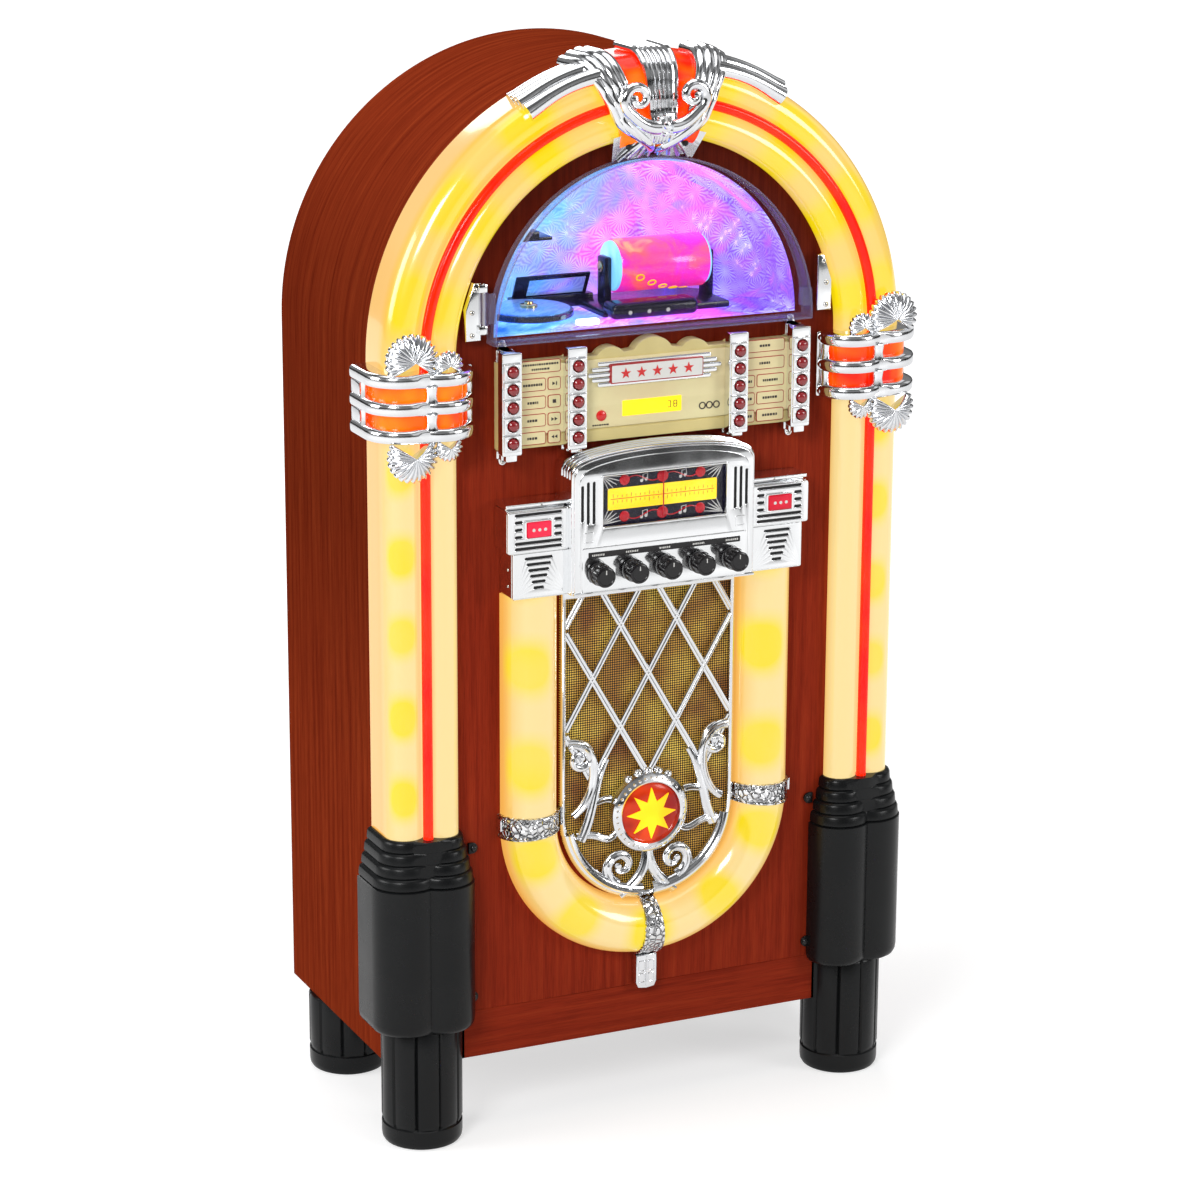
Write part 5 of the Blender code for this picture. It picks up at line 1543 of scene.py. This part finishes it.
def make_wing(unit, side):
    """A side wing: a louvred upper box with a switch, and a lower box with a funnel of slots."""
    x = side * SWITCH_X
    inner, outer = side * 0.0962, side * 0.1590
    lo, hi = sorted((inner, outer))
    switch_hole = rounded(x - 0.0125, SWITCH_Z - 0.0075, x + 0.0125, SWITCH_Z + 0.0075, 0.001)
    slots = [slot_hole(x, SWITCH_Z + off, 0.0240, 0.00125) for off in (0.0150, -0.0125, -0.0178)]
    for end in (-1, 1):
        for k in range(3):
            slots.append(slot_hole(x + end * 0.0202, SWITCH_Z + 0.0082 - 0.0072 * k, 0.0038, 0.00125))
    upper = rounded(lo, 0.5960, hi, 0.6370, 0.0025)
    upper_dark = rounded(lo + 0.002, 0.598, hi - 0.002, 0.635, 0.002)
    front = -WING_OUT
    unit.plate(upper, front + 0.0002, front + 0.0024, M_CHROME, [switch_hole, *slots], 0.0008)
    unit.plate(upper, front + 0.0034, -0.0003, M_CHROME, (), 0.0004)
    # a dark sheet behind the switch opening and slots: painted shade inside the wing
    unit.plate(upper_dark, front + 0.0020, front + 0.0036, M_DARK_GAP, [switch_hole])
    frame_box = rounded(x - 0.0148, SWITCH_Z - 0.0094, x + 0.0148, SWITCH_Z + 0.0094, 0.0014)
    unit.plate(frame_box, -WING_OUT - 0.0012, -WING_OUT + 0.0010, M_CHROME, [switch_hole], 0.0006)
    ledge = rounded(lo + 0.001, 0.6372, hi - 0.0014, 0.6425, 0.001)
    unit.plate(ledge, -0.0260, -0.0003, M_CHROME, (), 0.0010)
    unit.plate(rounded(lo, 0.6395, hi, 0.6430, 0.001), -0.0300, -0.0003, M_CHROME, (), 0.0008)
    screw(unit, side * 0.1230, -0.0300, 0.6412, 0.0013)
    low_inner, low_outer = sorted((inner, side * 0.1533))
    funnel = [slot_hole(side * 0.1265, 0.5900 - 0.0058 * k, 0.0142 - 0.0018 * k, 0.00125) for k in range(6)]
    lower = rounded(low_inner, 0.5512, low_outer, 0.5958, 0.0015)
    lower_dark = rounded(low_inner + 0.002, 0.553, low_outer - 0.002, 0.594, 0.001)
    unit.plate(lower, front + 0.0020, front + 0.0046, M_CHROME, funnel, 0.0006)
    # a dark sheet behind the funnel of slots: painted shade inside the wing
    unit.plate(lower_dark, front + 0.0040, front + 0.0058, M_DARK_GAP)
    unit.plate(lower, front + 0.0056, -0.0003, M_CHROME, (), 0.0004)
    sill = [(x, front + 0.003, 0.5518) for x in (low_inner + 0.001, low_outer - 0.001)]
    unit.rod(sill, 0.0011, M_CHROME, 8)
    for z in (0.562, 0.578):
        screw(unit, side * 0.1533, -0.0200, z, 0.0016, (side, 0, 0))


def make_dial():
    """The dial's face with a plain scale, the needle and the glass."""
    dial = Piece("dial_face")
    back = -0.0370
    dial.plate(rounded(-0.072, 0.608, 0.072, 0.671, 0.001), back, back + 0.0020, M_GLOSS)
    y = back - 0.0002
    mid = (DIAL_LOW + DIAL_HIGH) / 2
    scale_low, scale_high = mid - 0.0105, mid + 0.0105
    dial.plate(rounded(-0.0575, scale_low, 0.0575, scale_high, 0.0008), y - 0.0002, y + 0.0006, M_SCALE)
    dial.block((-0.0545, y - 0.0004, mid - 0.0003), (0.0545, y, mid + 0.0003), M_RED_DOT)
    for k in range(23):
        x = -0.0520 + 0.00475 * k
        tall = 0.0022 if k % 4 else 0.0036
        dial.block((x - 0.0002, y - 0.0004, mid + 0.0014), (x + 0.0002, y, mid + 0.0014 + tall), M_INK)
        dial.block((x - 0.0002, y - 0.0004, mid - 0.0014 - tall), (x + 0.0002, y, mid - 0.0014), M_INK)
    for way in (1, -1):
        z = mid + way * 0.0178
        for x, radius in ((-0.0400, 0.0052), (0.0, 0.0058), (0.0400, 0.0052)):
            dial.turned(
                [(radius, 0), (radius, 0.0004), (radius - 0.0008, 0.0007), (0, 0.0007)], (x, y + 0.0002, z),
                M_RED_DOT, steps=28,
            )
        across = [-0.036 + 0.0018 * i for i in range(41)]
        swoop = [(x, y, z + way * 0.0032 * math.sin(x * 160)) for x in across]
        dial.rod(swoop, 0.0006, M_RED_DOT, 6)
        for x in (-0.0205, 0.0205):
            head = [(0.0016, 0), (0.0016, 0.0004), (0, 0.0005)]
            for dx, dz in ((-0.0018, -0.0024), (0.0030, -0.0014)):
                dial.turned(head, (x + dx, y, z + dz), M_WHITE, steps=14)
            note = [(-0.0004, -0.0024), (-0.0004, 0.0034), (0.0044, 0.0044), (0.0044, -0.0014)]
            dial.rod([(x + dx, y, z + dz) for dx, dz in note], 0.0005, M_WHITE, 6)
        for end in (-1, 1):
            for k in range(5):
                a = math.radians(8 + 15 * k)
                tip = (end * 0.0640, y, mid + way * 0.0238)
                start_x = end * 0.0640 - end * 0.020 * math.cos(a)
                start = Vector((start_x, y, mid + way * (0.0238 - 0.016 * math.sin(a))))
                dial.rod([start, (start + Vector(tip)) / 2, tip], [0.0003, 0.0007, 0.0004], M_WHITE, 6)
    dial.done(["dial_plate"], "dial")

    needle = Piece("dial_needle")
    needle.block((-0.0005, -0.0398, DIAL_LOW + 0.004), (0.0005, -0.0388, 0.674), M_RED_DOT, 0.0002)
    needle.block((-0.004, -0.0398, 0.6715), (0.004, -0.0300, 0.6745), M_GLOSS, 0.0004)
    needle.done(["tuning_needle"], "red_keys", "tuning_needle")

    glass = Piece("dial_glass")
    glass.plate(
        rounded(-DIAL_HALF, DIAL_LOW, DIAL_HALF, DIAL_HIGH, 0.0016), -TUNER_OUT + 0.0012, -TUNER_OUT + 0.0022,
        M_CLEAR,
    )
    glass.done((), "clear_acrylic")


def make_knobs():
    """Five fluted black knobs."""
    names = ("knob_volume", "knob_treble", "knob_tuning", "knob_bass", "knob_band")
    for place, node_name in enumerate(names):
        x = (place - 2) * KNOB_PITCH
        knob = Piece(node_name + "_cap")
        levels = [
            (0.0448, 0.0100), (0.0452, 0.0107), (0.0470, 0.0112), (0.0505, 0.0112), (0.0515, 0.0109),
            (0.0522, 0.0103), (0.0532, 0.0105), (0.0618, 0.0102), (0.0630, 0.0098), (0.0637, 0.0088),
            (0.0638, 0.0078), (0.0634, 0.0073), (0.0634, 0.0004),
        ]
        rings = []
        for out, radius in levels:
            ring = []
            for i in range(72):
                a = 2 * math.pi * i / 72
                r = radius - (0.0008 * (math.cos(a * 12) > 0.1) if 0.0530 < out < 0.0620 else 0.0)
                ring.append((x + r * math.cos(a), -out, KNOB_Z + r * math.sin(a)))
            rings.append(ring)
        knob.loft(rings, M_GLOSS)
        knob.turned([(0.0030, 0.0376), (0.0030, 0.0450), (0, 0.0450)], (x, 0, KNOB_Z), M_STEEL, steps=20)
        knob.block((x - 0.0004, -0.06395, KNOB_Z + 0.0030), (x + 0.0004, -0.0632, KNOB_Z + 0.0070), M_WHITE)
        knob.done([node_name], "black_plastic", node_name)


# ---------------------------------------------------------------- U tube
def u_ring(section, angle_deg=None, z=None, side=1):
    """The half-round section on the bend at an angle, or on a straight arm at a height."""
    if angle_deg is None:
        return [(side * (U_R + r), y, z) for r, y in section]
    a = math.radians(angle_deg)
    return [((U_R + r) * math.cos(a), y, U_Z + (U_R + r) * math.sin(a)) for r, y in section]


def u_rings(section, top, steps=60):
    rings = [u_ring(section, z=top + (U_Z - top) * i / 16, side=-1) for i in range(16)]
    rings += [u_ring(section, 180 + 180 * i / steps) for i in range(steps + 1)]
    rings += [u_ring(section, z=U_Z + (top - U_Z) * (i + 1) / 16) for i in range(16)]
    return rings


def make_u_tube():
    """The U-shaped light tube and its three straps."""
    wall = arc(0, -0.0003, U_TUBE, 180, 360, 24) + arc(0, -0.0003, U_TUBE - 0.002, 180, 360, 24)[::-1]
    Piece("u_cover").loft(u_rings(wall, U_TOP - 0.0002), M_U).done(["u_light_cover"], "cream_diffuser")

    for side in (-1, 1):
        strap = Piece(name_side("u_strap", side) + "_band")
        levels = [
            (0.0, 0.0010), (0.02, 0.0028), (0.08, 0.0030), (0.14, 0.0016), (0.20, 0.0020), (0.5, 0.0026),
            (0.80, 0.0020), (0.86, 0.0016), (0.92, 0.0030), (0.98, 0.0028), (1.0, 0.0010),
        ]
        strap.loft([strap_ring(side, grow, t) for t, grow in levels], M_BARK)
        ear_x = side * (U_R + U_TUBE + 0.0014)
        ear = sorted_box(ear_x, -0.010, U_Z - 0.005, ear_x + side * 0.0024, -0.0004, U_Z + 0.007)
        strap.block(*ear, M_CAST, 0.0008)
        strap.done([name_side("u_strap", side)], "chrome")

    bottom = Piece("u_strap_bottom_band")
    levels = [
        (265.2, 0.0010), (265.4, 0.0026), (266.4, 0.0030), (267.2, 0.0018), (270, 0.0028), (272.8, 0.0018),
        (273.6, 0.0030), (274.6, 0.0026), (274.8, 0.0010),
    ]
    bottom.loft([u_band(grow, 48, angle_deg=angle) for angle, grow in levels], M_BARK)
    tag = [
        (-0.0112, 0.1620), (-0.0112, 0.1330), (-0.0088, 0.1275), (0, 0.1262), (0.0088, 0.1275),
        (0.0112, 0.1330), (0.0112, 0.1620),
    ]
    bottom.plate(tag, -0.0110, -0.0004, M_CAST, (), 0.0010)
    for side in (-1, 1):
        for z0, z1 in ((0.1325, 0.1425), (0.1445, 0.1560)):
            cell = rounded(side * 0.0052 - 0.0036, z0, side * 0.0052 + 0.0036, z1, 0.0015)
            bottom.plate(
                cell, -0.0120, -0.0105, M_CAST,
                [rounded(side * 0.0052 - 0.0027, z0 + 0.0009, side * 0.0052 + 0.0027, z1 - 0.0009, 0.001)],
                0.0003,
            )
    bottom.rod([(0, -0.0112, 0.129), (0, -0.0112, 0.160)], 0.0009, M_CAST, 8)
    bottom.done(["u_strap_bottom"], "chrome")


def u_band(grow, steps, **place):
    """A strap's closed section round the tube, on the bend or on an arm."""
    outer = u_ring(arc(0, -0.0003, U_TUBE + grow, 180, 360, steps), **place)
    inner = u_ring(arc(0, -0.0003, U_TUBE + 0.0004, 180, 360, steps), **place)
    return outer + inner[::-1]


def strap_ring(side, grow, t):
    """The band's section between 5 degrees down the bend and 11 mm up the arm."""
    bend = 0.5
    if t < bend:
        down = 5.0 * (1 - t / bend)
        return u_band(grow, 40, angle_deg=-down if side > 0 else 180 + down)
    return u_band(grow, 40, z=U_Z + 0.011 * (t - bend) / (1 - bend), side=side)


# ---------------------------------------------------------------- grille
def clip_to_grille(x0, z0, x1, z1, low=0.352, high=0.541):
    """The stretch of a line that is inside the grille's frame."""
    half = GRILLE_HALF - 0.004
    t0, t1 = 0.0, 1.0
    for p, d, lo, hi in ((x0, x1 - x0, -half, half), (z0, z1 - z0, low, high)):
        if abs(d) < 1e-9:
            continue
        a, b = sorted(((lo - p) / d, (hi - p) / d))
        t0, t1 = max(t0, a), min(t1, b)
    if t1 - t0 < 0.02:
        return None
    return (x0 + (x1 - x0) * t0, z0 + (z1 - z0) * t0), (x0 + (x1 - x0) * t1, z0 + (z1 - z0) * t1)


def scroll(piece, path, start, end):
    """A tapering scroll bar along a flat path of (x, z), with a fine ridge along its crest."""
    last = len(path) - 1
    sizes = [1.3 * (start + (end - start) * i / last) for i in range(last + 1)]
    points = [(x, BAR_Y - 0.0022 * math.sin(math.pi * i / last), z) for i, (x, z) in enumerate(path)]
    piece.rod(points, sizes, M_CAST, 12, flat=0.8, up=(0, -1, 0))
    ridge = [(x, y - size * 0.78, z) for (x, y, z), size in zip(points, sizes)]
    piece.rod(ridge, [size * 0.32 for size in sizes], M_CAST, 6)


def bezier(p0, p1, p2, p3, steps=20):
    points = []
    for i in range(steps + 1):
        t = i / steps
        s = 1 - t
        axis_sets = zip(p0, p1, p2, p3)
        spot = [s**3 * a + 3 * s * s * t * b + 3 * s * t * t * c + t**3 * d for a, b, c, d in axis_sets]
        points.append(tuple(spot))
    return points


def make_grille():
    """The cast lattice with scrolls, the cloth behind it and the star medallion."""
    lattice = Piece("grille_casting")
    half = GRILLE_HALF
    border = [(half - 0.0025, 0.5440), (-half + 0.0025, 0.5440), *arc(0, U_Z, half - 0.0025, 180, 360, 48)]
    lattice.rod(
        [(x, BAR_Y + 0.0005, z) for x, z in border], 0.0030, M_CAST, 8, closed=True, flat=1.1, up=(0, -1, 0),
    )
    lattice.block((-half + 0.001, -0.0112, 0.5385), (half - 0.001, -0.0060, 0.5478), M_CAST, 0.0018, 3)
    cell_x, cell_z = 0.0300, 0.0520
    for k in range(-9, 10):
        for way in (-1, 1):
            x0 = k * 2 * cell_x
            line = clip_to_grille(
                x0 - way * cell_x * 8, 0.455 - cell_z * 8, x0 + way * cell_x * 8, 0.455 + cell_z * 8,
            )
            if not line:
                continue
            (ax, az), (bx, bz) = line
            for off in (-0.0019, 0.0019):
                points = [
                    (ax + off, BAR_Y, az), ((ax + bx) / 2 + off, BAR_Y, (az + bz) / 2), (bx + off, BAR_Y, bz),
                ]
                lattice.rod(points, 0.0020, M_CAST, 8)
    for s in (-1, 1):
        main = bezier((s * 0.086, 0.392), (s * 0.050, 0.395), (s * 0.052, 0.335), (s * 0.080, 0.318))
        scroll(lattice, main, 0.0044, 0.0036)
        upper = curl_path(s * 0.0740, 0.3760, 0.0155, 0.0030, 90, s * 430)
        scroll(lattice, upper, 0.0040, 0.0020)
        lattice.turned(
            [(0.0036, -0.002), (0.0036, 0.001), (0.0024, 0.0034), (0, 0.0042)],
            (upper[-1][0], BAR_Y - 0.001, upper[-1][1]), M_CAST, steps=18,
        )
        leaf = bezier((s * 0.044, 0.372), (s * 0.060, 0.345), (s * 0.058, 0.318), (s * 0.072, 0.292))
        scroll(lattice, leaf, 0.0026, 0.0050)
        bend = [math.radians(-12 - 74 * i / 30) for i in range(31)]
        outer = [(s * (half - 0.006) * math.cos(a), U_Z + (half - 0.006) * math.sin(a)) for a in bend]
        scroll(lattice, outer, 0.0050, 0.0060)
        lower = curl_path(s * 0.0290, 0.2600, 0.0190, 0.0030, -80 if s > 0 else 260, s * 440)
        scroll(lattice, lower, 0.0050, 0.0022)
        lattice.turned(
            [(0.0042, -0.002), (0.0042, 0.001), (0.0028, 0.0038), (0, 0.0046)],
            (lower[-1][0], BAR_Y - 0.001, lower[-1][1]), M_CAST, steps=18,
        )
        arm = bezier((s * 0.040, 0.330), (s * 0.052, 0.334), (s * 0.056, 0.326), (s * 0.066, 0.330))
        scroll(lattice, arm, 0.0034, 0.0026)
        low_arm = bezier((s * 0.036, 0.292), (s * 0.048, 0.284), (s * 0.050, 0.300), (s * 0.076, 0.296))
        scroll(lattice, low_arm, 0.0032, 0.0034)
        stem = bezier((s * 0.0015, 0.272), (s * 0.002, 0.258), (s * 0.006, 0.244), (s * 0.030, 0.2290))
        scroll(lattice, stem, 0.0042, 0.0050)
    for k in range(5):
        a = math.radians(90 + 16 * (k - 2))
        spot = (0.0405 * math.cos(a), BAR_Y - 0.002, MEDALLION_Z + 0.0415 * math.sin(a))
        lattice.turned(
            [(0.0048, -0.003), (0.0048, 0.000), (0.0032, 0.0030), (0, 0.0040)], spot, M_CAST, steps=18,
        )
    lattice.done(["grille_lattice"], "chrome", angle=45)

    cloth = Piece("grille_fabric")
    region = [(half - 0.001, 0.547), (-half + 0.001, 0.547), *arc(0, U_Z, half - 0.001, 180, 360, 48)]
    cloth.plate(region, -0.0040, -0.0020, M_CLOTH)
    stretched = cloth.done(["grille_cloth"], "grille_cloth")

    badge = Piece("medallion_star")
    centre = (0, 0, MEDALLION_Z)
    ring = [
        (0.0300, 0.0088), (0.0412, 0.0088), (0.0415, 0.0120), (0.0402, 0.0160), (0.0370, 0.0182),
        (0.0335, 0.0196), (0.0316, 0.0186), (0.0306, 0.0160), (0.0300, 0.0088),
    ]
    badge.turned(ring, centre, M_CAST, steps=96)
    for k in range(36):
        a = 2 * math.pi * k / 36
        spot = (0.0358 * math.cos(a), -0.0176, MEDALLION_Z + 0.0358 * math.sin(a))
        badge.turned(
            [(0.0019, -0.001), (0.0019, 0.0004), (0.0012, 0.0016), (0, 0.0021)], spot, M_CAST, steps=10,
        )
    dome = [(0.0306, 0.0120)] + [
        (0.0306 * math.cos(t), 0.0150 + 0.0055 * math.sin(t))
        for t in (math.pi / 2 * i / 10 for i in range(11))
    ]
    badge.turned(dome, centre, M_JEWEL, steps=72)
    tip_count, tips = 8, []
    bm = bmesh.new()
    bm.loops.layers.uv.new("UVMap")
    peak = bm.verts.new((0, -0.0229, MEDALLION_Z))
    base = bm.verts.new((0, -0.0190, MEDALLION_Z))
    for i in range(tip_count * 2):
        a = math.pi / 2 + math.pi * i / tip_count
        r = 0.0262 if i % 2 == 0 else 0.0128
        drop = 0.0165 + 0.0040 * math.sqrt(max(0.0, 1 - (r / 0.0306) ** 2))
        x, z = r * math.cos(a), MEDALLION_Z + r * math.sin(a)
        tips.append((bm.verts.new((x, -drop - 0.0013, z)), bm.verts.new((x, -drop + 0.0012, z))))
    for (a_top, a_low), (b_top, b_low) in zip(tips, tips[1:] + tips[:1]):
        bm.faces.new((peak, a_top, b_top))
        bm.faces.new((base, b_low, a_low))
        bm.faces.new((a_top, a_low, b_low, b_top))
    badge.take(bm, M_STAR)
    badge.done(["medallion"], "chrome", angle=25)


# ---------------------------------------------------------------- the pieces that stay as the CAD has them
def dress_cad_nodes():
    """Gives finishes to the CAD nodes that show as they are."""
    for name, finish in (("bottom_board", M_EDGE), ("speaker", M_STEEL)):
        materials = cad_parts[name].data.materials
        materials.clear()
        materials.append(finish)


# ---------------------------------------------------------------- floor, light and camera
def make_stage():
    """A white floor, a striped studio for the chrome to mirror, and five soft lights."""
    bm = bmesh.new()
    bmesh.ops.create_grid(bm, x_segments=1, y_segments=1, size=9.0)
    mesh = bpy.data.meshes.new("floor")
    bm.to_mesh(mesh)
    bm.free()
    floor = bpy.data.objects.new("floor", mesh)
    finish, tree, shader = material("pale_floor", (0.55, 0.55, 0.55), 0.9, Specular_IOR_Level=0.0)
    spread = node(tree, "ShaderNodeVectorMath", [(0, coordinates(tree))], operation="LENGTH").outputs["Value"]
    paler = spread_range(tree, spread, 0.8, 3.5, 0.60, 1.0)
    lit = node(tree, "ShaderNodeEmission", [("Color", (1, 1, 1, 1)), ("Strength", paler)])
    both = node(tree, "ShaderNodeAddShader", [(0, shader.outputs[0]), (1, lit.outputs[0])])
    path = node(tree, "ShaderNodeLightPath").outputs
    mirrored = math_node(tree, "MULTIPLY", path["Is Glossy Ray"], 0.62)
    seen = math_node(tree, "MAXIMUM", path["Is Camera Ray"], mirrored)
    chosen = node(tree, "ShaderNodeMixShader", [(0, seen), (1, shader.outputs[0]), (2, both.outputs[0])])
    tree.links.new(chosen.outputs[0], tree.nodes["Material Output"].inputs["Surface"])
    mesh.materials.append(finish)
    bpy.context.scene.collection.objects.link(floor)

    world = bpy.data.worlds.new("studio")
    bpy.context.scene.world = world
    world.use_nodes = True
    tree = world.node_tree
    background = tree.nodes["Background"]
    way = axes(tree, node(tree, "ShaderNodeTexCoord").outputs["Generated"])
    turn = math_node(tree, "ARCTAN2", way["Y"], way["X"])
    strips = math_node(tree, "SINE", math_node(tree, "MULTIPLY_ADD", turn, 5.0, 0.8))
    soft_boxes = grey_ramp(tree, strips, [(0.0, 0.05), (0.38, 0.16), (0.56, 1.0), (1.0, 1.0)])
    levels = [
        (0.0, 0.55), (0.40, 0.45), (0.49, 0.06), (0.54, 0.10), (0.60, 0.85), (0.78, 0.95), (0.84, 0.30),
        (1.0, 0.9),
    ]
    studio = mix(tree, 0.72, grey_ramp(tree, to_unit(tree, way["Z"]), levels), soft_boxes, "MULTIPLY")
    tree.links.new(studio, background.inputs["Color"])
    background.inputs["Strength"].default_value = 0.75
    plain_white = node(tree, "ShaderNodeBackground", [("Color", (1, 1, 1, 1)), ("Strength", 1.0)])
    seen = node(tree, "ShaderNodeLightPath").outputs["Is Camera Ray"]
    chosen = node(
        tree, "ShaderNodeMixShader", [(0, seen), (1, background.outputs[0]), (2, plain_white.outputs[0])],
    )
    tree.links.new(chosen.outputs[0], tree.nodes["World Output"].inputs["Surface"])

    for name, place, size, power in (
        ("key_light", (-2.4, -2.4, 2.4), 1.1, 62),
        ("fill_light", (2.4, -2.6, 1.5), 1.2, 34),
        ("side_light", (-3.0, 0.4, 1.6), 1.4, 40),
        ("top_light", (0.0, 0.0, 3.2), 2.2, 26),
        ("back_light", (0.5, 2.8, 2.0), 1.8, 30),
    ):
        data = bpy.data.lights.new(name, "AREA")
        data.shape, data.size, data.energy = "SQUARE", size, power
        lamp = bpy.data.objects.new(name, data)
        lamp.location = place
        aim = Vector((0, 0, 0.55)) - Vector(place)
        lamp.rotation_euler = aim.to_track_quat("-Z", "Y").to_euler()
        bpy.context.scene.collection.objects.link(lamp)


def make_camera():
    """A long lens at eye height, to the object's left. Angles are in radians."""
    azimuth, elevation, roll = -0.4305, 0.2770, 0.0042
    place = Vector((-1.4931, -3.1227 + FRONT, 1.5198))
    back = Vector(
        (
            math.sin(azimuth) * math.cos(elevation), -math.cos(azimuth) * math.cos(elevation),
            math.sin(elevation),
        )
    )
    right = Vector((math.cos(azimuth), math.sin(azimuth), 0))
    up = back.cross(right)
    turn = Matrix((right, up, back)).transposed() @ Matrix.Rotation(roll, 3, "Z")
    data = bpy.data.cameras.new("camera")
    data.sensor_width = 36.0
    data.lens = 113.42
    data.clip_end = 100
    camera = bpy.data.objects.new("camera", data)
    camera.matrix_world = Matrix.Translation(place) @ turn.to_4x4()
    bpy.context.scene.collection.objects.link(camera)
    bpy.context.scene.camera = camera


make_camera()
make_stage()
bpy.context.scene.view_settings.view_transform = "Standard"
make_cabinet()
make_legs()
make_boots()
make_light_tubes()
make_clamps()
make_crown()
make_window()
make_niche()
make_keypad()
make_tuner()
make_u_tube()
make_grille()
dress_cad_nodes()
